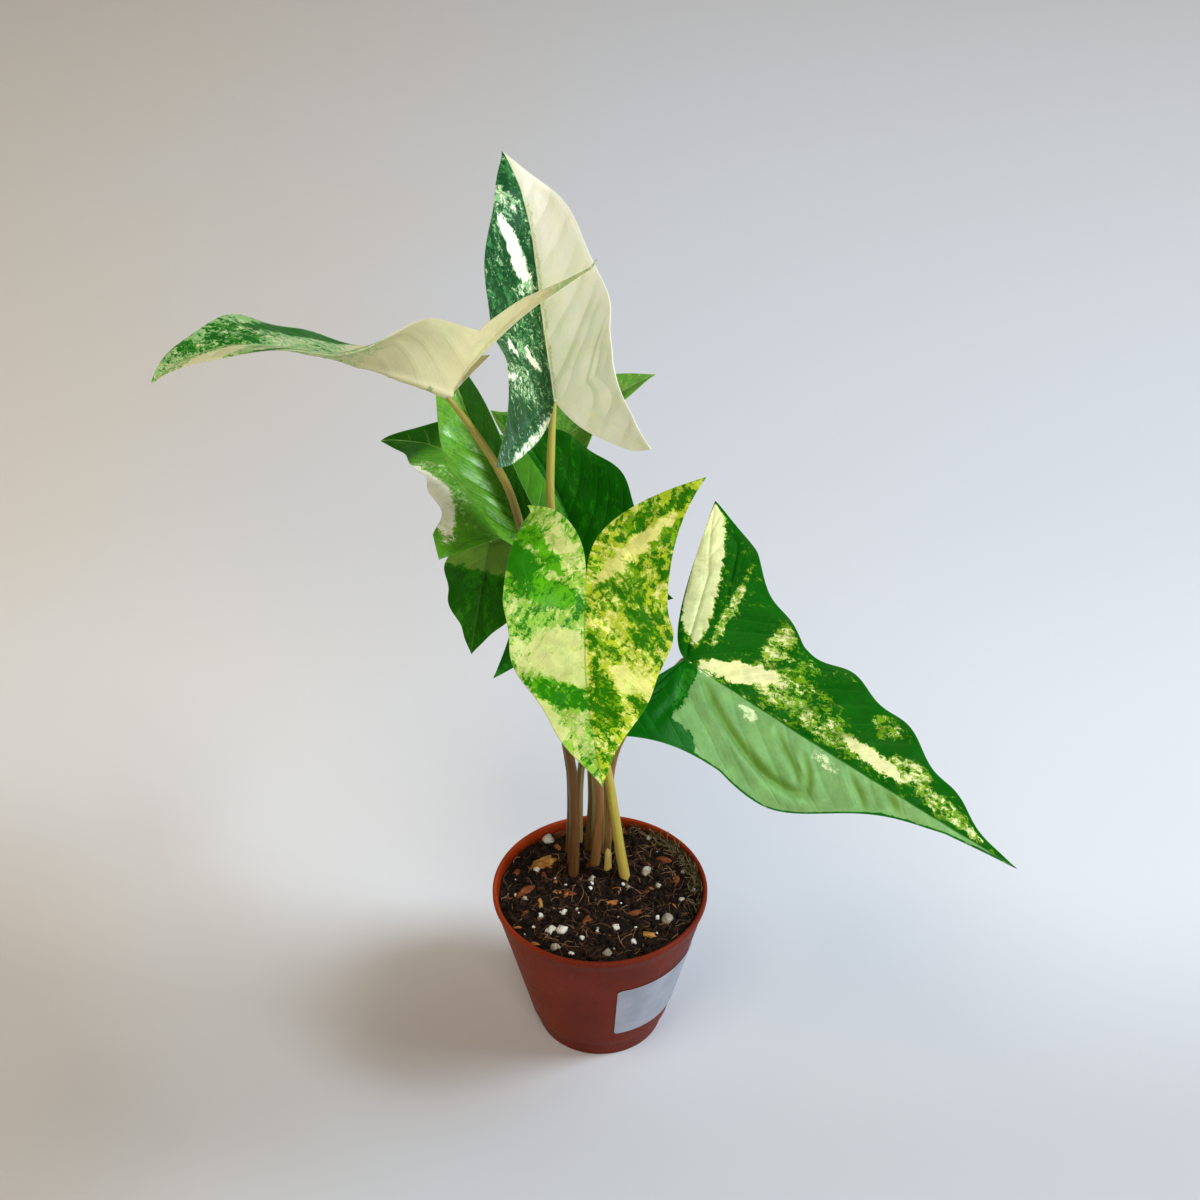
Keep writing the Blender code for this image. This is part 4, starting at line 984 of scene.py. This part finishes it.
def blade_look(name, leaf):
    g = Graph(name + "_blade")
    s, t, station = g.parts(g.attribute("flat"))
    margin, axis, under = g.parts(g.attribute("edge"))
    grain = g.attribute("grain")
    colour, layers, thin = blade_tone(g, leaf, s, t, margin, grain)
    wobble = g.reckon("SINE", station * VEIN_WAVE[0] + t * VEIN_WAVE[1])
    phase = station * (1 / leaf["veins"]) + g.reckon("GREATER_THAN", t, 0.0) * 0.5 + wobble * VEIN_WAVE[2]
    off, fine_off = (g.reckon("ABSOLUTE", g.reckon("FRACT", turns) - 0.5)
                     for turns in (phase + 0.5, phase * 5.0))
    vein = g.ramp(off, 0.01, leaf["vein_wide"], 1.0, 0.0)
    fine_vein = g.ramp(fine_off, 0.0, 0.2, 1.0, 0.0)
    net = g.ramp(g.net(grain * (1.1, 0.8, 0.0)), 0.0, 0.12, 1.0, 0.0)
    inside = g.ramp(margin, 0.6, 3.0)
    lines = g.reckon("MAXIMUM", vein * 0.5, g.reckon("MAXIMUM", fine_vein, net) * 0.07) * inside
    light = g.mix(layers[1], leaf["vein_cream"], leaf["vein_pale"])
    colour = g.mix(lines * leaf["vein_show"], colour, g.mix(layers[0], light, leaf["vein_green"]))
    # Painted shade in the creases: an olive colour where a place lies low in one, on the parts without the
    # upper green.
    if "crease_shade_colour" in leaf:
        seen = g.parts(grain)[2] * (1.0 - layers[0])
        colour = g.mix(seen * 0.75, colour, leaf["crease_shade_colour"])
    rib = g.ramp(axis, 0.08, 0.36, 1.0, 0.0) * g.ramp(s, -2.0, 1.0, 0.15, 1.0)
    colour = g.mix(rib * leaf["rib_show"], colour, leaf["rib"])
    colour = g.mix(under, colour, g.mix(0.35, colour, leaf["below"]))
    shine = g.ramp(thin, 0.3, 0.7, leaf["rough"], leaf["rough"] + 0.12) + under * 0.14
    grit = g.noise(g.vector(s, t, under), 3.0)
    height = vein * -0.6 + fine_vein * -0.12 + net * -0.16 + grit * 0.25
    g.bump(height * inside, leaf["relief"], 0.25)
    return g.finish(colour, shine, leaf["specular"], leaf["subsurface"], 1.6, (0.9, 1.0, 0.6))


def stalk_look(name):
    g = Graph(name + "_stalk")
    foot, lower, middle, upper, flecks, edges = STALK_TONES[name]
    share, turn, run = g.parts(g.attribute("run"))
    around, other = (g.reckon(operation, turn * (2 * pi)) for operation in ("SINE", "COSINE"))
    streak = g.noise(g.vector(around * 2.2, other * 2.2, run * 0.05), 1.6, 4.0, 0.65)
    fleck = g.noise(g.vector(around * 1.8, other * 1.8, run * 0.45), 1.4)
    moved = share + (streak - 0.5) * 0.22
    colour = g.mix(g.ramp(moved, 0.02, 0.10), foot, lower)
    colour = g.mix(g.ramp(moved, 0.22, 0.50), colour, middle)
    colour = g.mix(g.ramp(moved, 0.60, 0.96), colour, upper) * (0.45 + streak * 1.05)
    colour = g.mix(g.ramp(fleck, 0.62, 0.72) * g.ramp(share, 0.1, 0.7, 0.6, 0.15), colour, flecks)
    colour = g.mix(g.ramp(other, 0.70, 0.95) * g.ramp(share, 0.05, 0.45, 0.75, 0.2), colour, edges)
    g.bump(streak + fleck * 0.5, 0.45, 0.25)
    return g.finish(colour, g.ramp(streak, 0.3, 0.7, 0.38, 0.55), 0.45, 0.08, 1.2)


def dress_leaf(name):
    leaf = {**USUAL, **LEAVES[name], **LOOKS[name]}
    for key in ("quilt", "tones", "shows"):
        leaf.setdefault(key + "_right", leaf[key])
    vertices, faces, values = fine_blade(leaf)
    tube_vertices, tube_faces, run = fine_stalk(leaf)
    start = len(vertices)
    index = [0] * len(faces) + [1] * len(tube_faces)
    faces = faces + [[v + start for v in face] for face in tube_faces]
    attributes = {key: np.vstack([part, 0 * run]) for key, part in values.items()}
    attributes["run"] = np.vstack([np.zeros((start, 3)), run])
    looks = (blade_look(name, leaf), stalk_look(name))
    item = mesh_object(name + "_fine", np.vstack([vertices, tube_vertices]), faces, looks, index, attributes)
    hand_over(item, name)


# Pot

def wall_radius(z):
    """Outer radius of the pot's wall at a height above the foot."""
    top = RIM_RADIUS - RIM_LIP
    return STEP_RADIUS + (top - STEP_RADIUS) * (z - STEP_HEIGHT) / (POT_HEIGHT - RIM_DEPTH - STEP_HEIGHT)


def inner_radius(z):
    """Inner radius of the pot's wall at a height."""
    low = (STEP_RADIUS - WALL, STEP_HEIGHT)
    high = (RIM_RADIUS - RIM_LIP - WALL, POT_HEIGHT - LIP_SHOULDER)
    return low[0] + (high[0] - low[0]) * (z - low[1]) / (high[1] - low[1])


SOIL_EDGE = inner_radius(SOIL_TOP)


def pot_profile():
    """Outline of the wall and lip, from the middle of the floor inside round to the middle of the foot."""
    top = RIM_RADIUS - RIM_LIP
    inner_top, inner_step, inner_foot = top - WALL, STEP_RADIUS - WALL, FOOT_RADIUS - WALL
    points = [(0.0, FLOOR_THICKNESS), (inner_foot - 1.0, FLOOR_THICKNESS)]
    points += [(inner_foot, FLOOR_THICKNESS + 0.6), (inner_step, STEP_HEIGHT)]
    for u in np.linspace(0.1, 1, 14):
        z = STEP_HEIGHT + (POT_HEIGHT - LIP_ROUND - STEP_HEIGHT) * u
        points.append((inner_step + (inner_top - inner_step) * u, z))
    middle, half_lip = (inner_top + RIM_RADIUS) / 2, (RIM_RADIUS - inner_top) / 2
    for a in np.radians(np.linspace(170, 10, 11)):
        points.append((middle + half_lip * cos(a), POT_HEIGHT - LIP_ROUND * (1 - sin(a))))
    low = POT_HEIGHT - RIM_DEPTH
    points += [(RIM_RADIUS, POT_HEIGHT - 0.9), (RIM_RADIUS, low + 0.7)]
    points += [(RIM_RADIUS - 0.12, low + 0.3), (top + 0.15, low + 0.05)]
    for z in np.linspace(low - 0.15, STEP_HEIGHT + 0.3, 18):
        points.append((wall_radius(z), z))
    points += [(STEP_RADIUS - 0.12, STEP_HEIGHT), (FOOT_TOP_RADIUS + 0.25, STEP_HEIGHT - 0.5)]
    points += [(FOOT_TOP_RADIUS, STEP_HEIGHT - 0.8), (FOOT_RADIUS + 0.12, 0.5), (FOOT_RADIUS, 0.15)]
    return points + [(FOOT_RADIUS - 0.4, 0.0), (FOOT_RADIUS - 2.0, 0.0), (0.0, 0.0)]


def lathe(profile, sides):
    """Vertices and faces of a solid of revolution whose first and last points are on the axis."""
    rings = profile[1:-1]
    vertices = [(0.0, 0.0, profile[0][1])]
    vertices += [(r * cos(a), r * sin(a), z) for r, z in rings for a in circle(sides)]
    vertices.append((0.0, 0.0, profile[-1][1]))
    end = len(vertices) - 1 - sides
    faces = [[0, 1 + j, 1 + (j + 1) % sides] for j in range(sides)]
    for a in range(1, end, sides):
        faces += band(a + sides, a, sides)
    return vertices, faces + [[end + sides, end + (j + 1) % sides, end + j] for j in range(sides)]


def pot_look():
    g = Graph("pot_plastic_fine")
    place = g.place()
    x, y, z = g.parts(place)
    cloud = g.noise(place, 0.05, 3.0, 0.55)
    dust = g.noise(place, 0.5, 5.0, 0.7)
    rings = g.noise(g.vector(x * 0.02, y * 0.02, z * 1.6), 1.0)
    scuff = g.noise(g.vector((x + y * 0.3) * 1.2, y * 0.9, z * 0.35), 0.8, 4.0, 0.7)
    colour = g.mix(g.ramp(cloud, 0.3, 0.7), "5E1A08", "70260E")
    colour = g.mix(g.ramp(dust, 0.5, 0.75) * 0.2, colour, "96503A")
    colour = g.mix(g.ramp(scuff, 0.64, 0.74) * 0.35, colour, "B07858")
    # Painted warm light: the pot's left side, where the warm lamp's light falls, is painted a brighter
    # orange.
    colour = g.mix(g.ramp(x + y * -0.25, -30.0, 6.0, 0.5, 0.0), colour, "A04014")
    # Painted light on the rolled lip: it is painted a lighter orange, more so towards the back left.
    lip = g.ramp(z, POT_HEIGHT - 3.0, POT_HEIGHT - LIP_ROUND)
    colour = g.mix(lip * g.ramp(y + x * -0.6, -20.0, 20.0, 0.12, 0.6), colour, "B2461A")
    soiled = g.ramp(dust, 0.6, 0.72) * g.ramp(z, 44.0, 51.5)
    inner = g.reckon("LESS_THAN", g.reckon("LENGTH", g.vector(x, y)), RIM_RADIUS - RIM_LIP - WALL + 0.1)
    colour = g.mix(soiled * (0.15 + inner * 0.6), colour, "3A2218")
    g.bump(rings * 0.5 + dust * 0.35 + scuff * 0.3, 0.35, 0.12)
    return g.finish(colour, g.ramp(dust, 0.3, 0.7, 0.42, 0.56), 0.16, 0.04, 1.0)


def remade(mesh, change):
    """Changes a mesh by a function of its bmesh."""
    work = bmesh.new()
    work.from_mesh(mesh)
    change(work)
    work.to_mesh(mesh)
    work.free()


def outward(work):
    bmesh.ops.recalc_face_normals(work, faces=work.faces)


def shade(work):
    for edge in work.edges:
        edge.smooth = len(edge.link_faces) != 2 or edge.calc_face_angle(0.0) < radians(SHARP)
    for face in work.faces:
        face.smooth = True


def drain_tool(angle):
    mesh = bpy.data.meshes.new("drain_tool")
    radius = DRAIN_RADIUS * MM
    remade(mesh, lambda work: bmesh.ops.create_cone(
        work, cap_ends=True, segments=48, radius1=radius, radius2=radius, depth=DRAIN_CUT * MM))
    tool = shown("drain_tool", mesh)
    tool.location = (DRAIN_RING * cos(angle) * MM, DRAIN_RING * sin(angle) * MM, 0.0)
    return tool


def dress_pot():
    item = mesh_object("pot_fine", *lathe(pot_profile(), TURN_STEPS), (pot_look(),))
    remade(item.data, outward)
    for angle in circle(DRAIN_COUNT):
        tool = drain_tool(angle)
        step = item.modifiers.new("cut", "BOOLEAN")
        step.operation = "DIFFERENCE"
        step.solver = "EXACT"
        step.object = tool
        bpy.context.view_layer.update()
        graph = bpy.context.evaluated_depsgraph_get()
        made = bpy.data.meshes.new_from_object(item.evaluated_get(graph))
        item.modifiers.clear()
        item.data = made
        bpy.data.objects.remove(tool, do_unlink=True)
    remade(item.data, shade)
    hand_over(item, "pot")


# Soil

def soil_level(x, y):
    """Height of the soil's rough surface."""
    level = SOIL_TOP + SOIL_CROWN * (1 - (hypot(x, y) / (RIM_RADIUS - RIM_LIP - WALL)) ** 2)
    for height, span, start in ((0.7, 0.09, 3.0), (0.9, 0.28, 7.0), (0.55, 0.9, 1.0), (0.22, 2.1, 5.0)):
        level += height * rough(x * span, y * span, start)
    return level


def soil_look(name, darkest, dark, lump, fibres):
    g = Graph(name)
    place = g.place()
    x, y, z = g.parts(place)
    grain = g.noise(place, 1.7, 5.0, 0.72)
    fibre = g.noise(place * (3.0, 0.5, 1.5), 1.0, 4.0, 0.7)
    # Painted shade: the lighter lumps fade out towards the middle, under the leaves.
    outer = g.ramp(g.reckon("LENGTH", g.vector(x, y + 3.0)), 6.0, 26.0, 0.35, 1.0)
    colour = g.mix(g.ramp(grain, 0.36, 0.62), darkest, dark)
    colour = g.mix(g.ramp(g.noise(place, 0.25), 0.45, 0.7) * 0.7 * outer, colour, lump)
    colour = g.mix(g.ramp(fibre, 0.60, 0.70) * 0.6, colour, fibres)
    g.bump(grain + fibre * 0.6, 0.9, 0.8)
    return g.finish(colour, g.ramp(grain, 0.3, 0.7, 0.75, 0.98), 0.25)


def dress_soil():
    top = [((SOIL_EDGE - 0.05) * ring / SOIL_RINGS, None) for ring in range(1, SOIL_RINGS + 1)]
    foot = [(STEP_RADIUS - WALL - GAP, STEP_HEIGHT), (FOOT_RADIUS - WALL - GAP, FLOOR_THICKNESS + GAP)]
    vertices = [(0.0, 0.0, soil_level(0.0, 0.0))]
    for radius, z in top + foot:
        for angle in circle(SOIL_SPOKES):
            x, y = radius * cos(angle), radius * sin(angle)
            vertices.append((x, y, soil_level(x, y) if z is None else z))
    faces = [[0, 1 + i, 1 + (i + 1) % SOIL_SPOKES] for i in range(SOIL_SPOKES)]
    last = len(vertices) - SOIL_SPOKES
    for a in range(1, last, SOIL_SPOKES):
        faces += band(a + SOIL_SPOKES, a, SOIL_SPOKES)
    faces.append([last + i for i in reversed(range(SOIL_SPOKES))])
    look = soil_look("soil_fine", "14100C", "2B1D14", "4A3120", "6B4C31")
    hand_over(mesh_object("soil_fine", vertices, faces, (look,)), "soil")


# What lies on the soil. The larger grains and pieces: x, y, half length, heading, look
PERLITE_GRAINS = (
    (-16, 23.5, 1.9, 20, 0), (-18, -10.5, 1.1, 0, 0), (-14.6, -17, 1.6, 40, 0), (-11.2, -17, 1.7, 10, 0),
    (-13.2, -23.5, 1.5, 0, 1), (-10.8, -9, 1.1, 0, 0), (-2.4, 4.2, 1.5, 0, 1), (4.6, -16.5, 1.2, 0, 0),
    (2.2, -25.4, 1.6, 10, 1), (20, -12, 1.8, 20, 1), (14.2, 8, 1.7, 60, 1), (15, 24.5, 1.2, 0, 1),
    (8.4, 1.2, 0.8, 0, 1), (-22.6, -3, 1.0, 0, 1), (-19.2, 9, 1.0, 0, 0), (17.5, 2.4, 1.1, 0, 1),
    (-5.4, -20.2, 0.8, 0, 0), (9.8, -21, 0.9, 0, 0), (24.5, -3.8, 1.0, 0, 1), (-8.4, -26.2, 0.9, 0, 0),
)
BARK_PIECES = (
    (-17, 12, 4.2, 28, 1), (-22.5, 0, 3.4, 35, 0), (-18, -5.5, 2.2, 100, 1), (-9, -1.5, 2.0, -20, 0),
    (10, -10, 2.6, 15, 0), (19.5, 14, 2.8, -30, 0), (-4, -13, 2.2, 60, 0), (14, -18.5, 2.4, -15, 1),
    (23, 5, 2.4, 80, 0), (-12, 26, 2.4, 5, 0), (5, 27, 2.6, 0, 0), (-25.5, 9, 2.0, 70, 0),
)


def rock_shape(detail):
    work = bmesh.new()
    bmesh.ops.create_icosphere(work, subdivisions=detail, radius=1.0)
    vertices = np.array([v.co[:] for v in work.verts])
    faces = [[v.index for v in face.verts] for face in work.faces]
    work.free()
    return vertices, faces


def lump(shape, x, y, extents, seed, lumpy, spans, angles, sink):
    """A rough, turned lump's points, sunk into the soil by a part of its height."""
    large, small = spans
    bumps = [1 + lumpy * rough(a * large + seed, b * large, c * large)
             + 0.5 * lumpy * rough(a * small, b * small + seed, c * small) for a, b, c in shape]
    points = (shape * np.array(bumps)[:, None] * extents) @ np.array(Euler(angles).to_matrix()).T
    low, high = points[:, 2].min(), points[:, 2].max()
    return points + np.array([x, y, soil_level(x, y) - low - sink * (high - low)])


def bits(name, count, size, looks, squash, detail, lumpy, sink=0.3, bias=None):
    """Scattered lumps. squash: extents along the axes, bias: middle, share and spread of a denser spot."""
    shape, faces = rock_shape(detail)
    parts = []
    for _ in range(count):
        if bias and random.random() < bias[2]:
            x = random.gauss(bias[0], bias[3])
            y = random.gauss(bias[1], bias[3])
        else:
            x, y = random_spot(TOPPING)
        scale = random.uniform(*size)
        if hypot(x, y) + scale > SOIL_EDGE - 0.2:
            continue
        extents = np.array([random.uniform(*s) for s in squash]) * scale
        seed = random.uniform(0, 100)
        angles = (random.uniform(-0.5, 0.5), random.uniform(-0.5, 0.5), random.uniform(0, 6.3))
        points = lump(shape, x, y, extents, seed, lumpy, (1.3, 2.9), angles, sink)
        parts.append((points, faces, random.randrange(len(looks))))
    joined(name, parts, looks)


def random_spot(reach):
    angle = random.uniform(0, 2 * pi)
    radius = reach * sqrt(random.random())
    return radius * cos(angle), radius * sin(angle)


def placed_bits(name, rows, looks, detail, lumpy, squash):
    """Lumps at chosen places."""
    shape, faces = rock_shape(detail)
    parts = []
    for number, (x, y, size, heading, which) in enumerate(rows):
        angles = (0.1, -0.12, radians(heading))
        points = lump(shape, x, y, np.array(squash) * size, 3.7 * number, lumpy, (1.2, 3.1), angles, 0.3)
        parts.append((points, faces, which))
    joined(name, parts, looks)


def plain_look(name, first, second, scale, roughness, bump=0.5, stretch=(1.0, 1.0, 1.0), subsurface=0.0):
    g = Graph(name)
    place = g.place(stretch)
    broad = g.noise(place, scale, 4.0, 0.65)
    fine = g.noise(place, scale * 5, 3.0, 0.7)
    colour = g.mix(g.ramp(broad, 0.35, 0.65), first, second) * (0.8 + fine * 0.4)
    g.bump(broad + fine * 0.5, bump, 0.3)
    return g.finish(colour, g.ramp(fine, 0.3, 0.7, roughness - 0.06, roughness + 0.06), 0.35, subsurface, 0.6)


def strands(name, lines, looks, every, sides=5):
    """Thin fibres along lines with a radius, of which one out of every so many has the second look."""
    parts = []
    for number, (line, radius) in enumerate(lines):
        line = np.asarray(line, float)
        tangent = unit(np.gradient(line, axis=0))
        side = unit(np.cross(tangent, np.array([0.31, 0.22, 0.93])))
        taper = np.minimum(1.0, 2.6 * np.sin(np.linspace(0.12, pi - 0.12, len(line))))
        points = rings_round(line, tangent, side, radius * taper[:, None], circle(sides))
        parts.append((points, tube(len(line), sides), 0 if number % every else 1))
    joined(name, parts, looks)


def kept_in(x, y, limit):
    """The place, or the nearest one that lies within the limit from the middle."""
    reach = hypot(x, y)
    return (x * limit / reach, y * limit / reach) if reach > limit else (x, y)


def lying_fibre(x, y, length, curl, lift, steps=12):
    """A curved fibre that lies on the soil."""
    heading = random.uniform(0, 2 * pi)
    bend = random.uniform(-curl, curl)
    points = []
    for i in range(steps):
        arch = lift * sin(pi * i / (steps - 1)) * random.uniform(0.8, 1.1)
        points.append((x, y, soil_level(x, y) + 0.1 + arch))
        x += cos(heading) * length / steps
        y += sin(heading) * length / steps
        heading += bend / steps + random.uniform(-0.25, 0.25)
        x, y = kept_in(x, y, SOIL_EDGE - 0.6)
    return points


def moss_strand(x, y, steps=9):
    """A curly strand that rises from the soil beside the rim."""
    z = SOIL_TOP + 1.0
    heading = random.uniform(0, 2 * pi)
    tilt = random.uniform(0.1, 1.0)
    points = []
    for i in range(steps):
        points.append((x, y, z))
        step = random.uniform(0.35, 0.75)
        x += cos(heading) * cos(tilt) * step
        y += sin(heading) * cos(tilt) * step
        z += sin(tilt) * step
        heading += random.uniform(-0.6, 0.6)
        tilt += random.uniform(-0.5, 0.25)
        x, y = kept_in(x, y, RIM_RADIUS - 0.3 if z > POT_HEIGHT + 0.4 else inner_radius(POT_HEIGHT) - 0.6)
        z = max(z, SOIL_TOP + 0.6)
    return points


def dress_crumbs():
    dark = soil_look("crumb_dark", "0E0A07", "20150E", "35241A", "4E3826")
    brown = soil_look("crumb_brown", "20140C", "3C2818", "5A3D26", "7A5636")
    bits("soil_crumbs", CRUMBS, (0.35, 1.25), (dark, dark, brown), ((0.7, 1.2), (0.7, 1.2), (0.5, 0.9)), 1,
         0.5)


def dress_perlite():
    pearl = plain_look("perlite", "E4E2DA", "C9C6BC", 0.9, 0.85, 0.8, subsurface=0.1)
    greyed = plain_look("perlite_soiled", "B9B2A2", "8C8272", 0.9, 0.88, 0.8)
    bits("perlite", PERLITE, (0.3, 0.85), (pearl, pearl, greyed), ((0.8, 1.1), (0.8, 1.1), (0.7, 1.0)), 2,
         0.45, 0.25, (-6, -14, 0.35, 8.0))
    placed_bits("perlite_grains", PERLITE_GRAINS, (pearl, greyed), 2, 0.55, (1.0, 0.85, 0.8))


def dress_bark():
    grained = (0.5, 2.0, 2.0)
    bark = plain_look("bark", "8A4E26", "5A3018", 0.5, 0.8, 1.0, grained)
    pale = plain_look("bark_pale", "B5793F", "8A5A2E", 0.5, 0.8, 1.0, grained)
    root = plain_look("bark_root", "C79A50", "94682E", 0.4, 0.8, 1.0, grained)
    placed_bits("bark_pieces", BARK_PIECES, (bark, root), 3, 0.5, (1.0, 0.42, 0.32))
    bits("bark_chips", BARK_CHIPS, (0.7, 2.0), (bark, pale), ((0.9, 1.5), (0.35, 0.6), (0.15, 0.3)), 2, 0.4,
         0.2, (-14, 8, 0.4, 7.0))


def dress_fibres():
    looks = (plain_look("fibre_dark", "3A281A", "6A4A30", 0.8, 0.85),
             plain_look("fibre_pale", "9A7A54", "6E5238", 0.8, 0.85))
    lines = []
    for _ in range(FIBRES):
        line = lying_fibre(*random_spot(FIBRE_SPREAD), random.uniform(3, 11), 1.8, random.uniform(0.1, 1.0))
        lines.append((line, random.uniform(0.07, 0.17)))
    strands("soil_fibres", lines, looks, 3)


def dress_moss():
    looks = (plain_look("moss", "6E5C3A", "453822", 0.8, 0.9),
             plain_look("moss_pale", "94845C", "6E6A40", 0.8, 0.9))
    lines = []
    for _ in range(MOSS_STRANDS):
        angle = radians(random.gauss(*MOSS_TURN))
        radius = random.gauss(*MOSS_RADIUS)
        if radius < MOSS_END:
            line = moss_strand(radius * cos(angle), radius * sin(angle))
            lines.append((line, random.uniform(0.05, 0.13)))
    strands("moss_strands", lines, looks, 2)


# Label

def label_look():
    g = Graph("label_paper_fine")
    place = g.place()
    broad = g.noise(place, 0.12, 3.0, 0.5)
    fine = g.noise(place, 4.0)
    colour = g.mix(g.ramp(broad, 0.35, 0.65), "949AA6", "A2A7B3")
    colour = g.mix(g.ramp(fine, 0.62, 0.75) * 0.2, colour, "8F8C92")
    g.bump(broad + fine * 0.2, 0.25, 0.15)
    return g.finish(colour, g.ramp(fine, 0.3, 0.7, 0.4, 0.5), 0.5)


def dress_label():
    turn = radians(LABEL_END - LABEL_START)
    wide = wall_radius((LABEL_BOTTOM + LABEL_TOP) / 2) * turn
    high = LABEL_TOP - LABEL_BOTTOM
    vertices = []
    for out in (LABEL_OFF, LABEL_OFF + LABEL_THICKNESS):
        for v in np.linspace(0, 1, LABEL_ROWS + 1):
            z = LABEL_BOTTOM + high * v
            short = max(0.0, LABEL_CORNER - min(v, 1 - v) * high)
            inset = LABEL_CORNER - sqrt(LABEL_CORNER ** 2 - short ** 2)
            for x in np.linspace(inset, wide - inset, LABEL_COLUMNS + 1):
                angle = radians(LABEL_START) + turn * x / wide
                wave = LABEL_OFF + LABEL_WAVE * rough(x * 0.25, z * 0.25, 2.0)
                radius = wall_radius(z) + out + max(0.0, wave)
                vertices.append((radius * cos(angle), radius * sin(angle), z))
    across = LABEL_COLUMNS + 1
    size = across * (LABEL_ROWS + 1)
    starts = [row * across + column for row in range(LABEL_ROWS) for column in range(LABEL_COLUMNS)]
    faces = [[a, a + across, a + across + 1, a + 1] for a in starts]
    rim = [[b, a, size + a, size + b] for a, b in rim_of(faces)]
    faces += [[size + v for v in reversed(face)] for face in faces] + rim
    hand_over(mesh_object("label_fine", vertices, faces, (label_look(),)), "label")


# Cut-off sheath

def dress_stub(rings=40, sides=30):
    foot = np.array([*STUB_HOLE, SOIL_TOP])
    lean = np.array([*STUB_LEAN, STUB_HEIGHT])
    vertices, run = [], []
    for u in np.linspace(0, 1, rings):
        centre = foot + lean * u - np.array([0, 0, STUB_ROOT * (1 - u)])
        for angle in circle(sides):
            torn = 0.12 * rough(3 * cos(angle), 3 * sin(angle), 3 * u)
            narrow = 1 - 0.35 * max(0.0, u - 0.85) / 0.15
            r = STUB_RADIUS * (1.12 - 0.25 * u + torn) * narrow
            drop = 4.0 * max(0.0, u - 0.8) * (1 + cos(angle - 1.0)) + 3.0 * torn * max(0.0, u - 0.6)
            vertices.append(centre + (r * cos(angle), 0.7 * r * sin(angle), -drop))
            run.append((u, angle / (2 * pi), u * STUB_HEIGHT))
    look = stalk_look("stub")
    item = mesh_object("stalk_stub_fine", vertices, tube(rings, sides), (look,), None, {"run": run})
    hand_over(item, "stalk_stub")


# Floor, light and camera

def floor_painted_light_look():
    g = Graph("floor")
    place = g.place()
    x, y, z = g.parts(place)
    grain = g.noise(place, 1.5)
    # Painted light: the floor is painted warm on the left, where the lamp's light falls, and cool on the
    # right, where the window's light falls.
    side = x + (g.noise(place, 0.004, 3.0, 0.5) - 0.5) * 300.0
    colour = g.mix(g.ramp(side, -330.0, 60.0), "E4DED4", "DFE4EC")
    # Painted falloff of the light: the floor is painted greyer further from the pot.
    colour = g.mix(g.ramp(g.reckon("LENGTH", place - (60.0, 60.0, 0.0)), 200.0, 1500.0), colour, "CFCAC4")
    # Painted shadow: the floor's front left, where the plant's soft shadow falls, is painted darker and
    # browner.
    corner = g.ramp(side, -200.0, -20.0, 1.0, 0.0) * g.ramp(y, -140.0, 80.0, 1.0, 0.0)
    colour = g.mix(corner * 0.18, colour, "93806C")
    # Painted shadow and bounced light: a warm brown patch is painted on the floor left of the pot.
    beside = g.reckon("LENGTH", place - (-46.0, -6.0, 0.0))
    colour = g.mix(g.ramp(beside, 8.0, 58.0, 0.24, 0.0), colour, "A88560")
    # Painted shade: the floor is painted darker towards the front and slightly darker towards the back.
    painted_floor_falloff = g.reckon("MINIMUM", g.ramp(y, -62.0, 66.0, 0.76, 1.0), g.ramp(y, 130.0, 310.0, 1.0, 0.94))
    g.bump(grain, 0.05, 0.2)
    return g.finish(colour * painted_floor_falloff, g.ramp(grain, 0.3, 0.7, 0.62, 0.72), 0.3)


def dress_stage(steps=48):
    """A floor that bends up into a plain background."""
    profile = [(-FLOOR_FRONT, 0.0)]
    for a in np.linspace(0, pi / 2, steps + 1):
        profile.append((FLOOR_BACK * (1 + sin(a)), FLOOR_BACK * (1 - cos(a))))
    profile.append((2 * FLOOR_BACK, FLOOR_TOP))
    vertices = [(x, y, z) for y, z in profile for x in (-FLOOR_TOP, FLOOR_TOP)]
    faces = [[2 * i, 2 * i + 1, 2 * i + 3, 2 * i + 2] for i in range(len(profile) - 1)]
    mesh_object("floor", vertices, faces, (floor_painted_light_look(),))


def area_light(name, place, aim, size, power, colour):
    data = bpy.data.lights.new(name, "AREA")
    data.shape = "DISK"
    data.size = size
    data.energy = power
    data.color = colour
    item = shown(name, data)
    item.location = place
    item.rotation_mode = "QUATERNION"
    item.rotation_quaternion = (Vector(aim) - Vector(place)).to_track_quat("-Z", "Y")


def dress_light():
    """A soft window on the right, a warm lamp and a fill from the front, in metres and watts."""
    world = bpy.data.worlds.new("studio")
    world.use_nodes = True
    shine = world.node_tree.nodes["Background"]
    shine.inputs["Color"].default_value = (1.0, 0.95, 0.90, 1.0)
    shine.inputs["Strength"].default_value = 0.24
    bpy.context.scene.world = world
    area_light("window", (1.45, -0.15, 1.5), (0.0, 0.0, 0.1), 0.8, 32.0, (0.80, 0.90, 1.0))
    area_light("lamp", (-0.5, -0.85, 2.0), (0.0, 0.0, 0.1), 1.0, 14.0, (1.0, 0.82, 0.60))
    area_light("front", (0.55, -1.9, 0.75), (0.0, 0.0, 0.15), 1.3, 17.0, (1.0, 0.96, 0.92))
    settings = bpy.context.scene.view_settings
    settings.view_transform = "Standard"
    settings.gamma = 0.9
    settings.exposure = 0.06


def dress_camera():
    data = bpy.data.cameras.new("camera")
    data.lens = LENS
    data.sensor_width = SENSOR
    data.clip_start, data.clip_end = CLIP
    item = shown("camera", data)
    item.location = [c * MM for c in CAMERA_PLACE]
    item.rotation_euler = (radians(90.0 - CAMERA_PITCH), 0.0, 0.0)
    bpy.context.scene.camera = item


dress_pot()
dress_soil()
dress_crumbs()
dress_perlite()
dress_bark()
dress_fibres()
dress_moss()
for leaf_name in LEAVES:
    dress_leaf(leaf_name)
dress_stub()
dress_label()
dress_stage()
dress_light()
dress_camera()

bpy.context.view_layer.update()
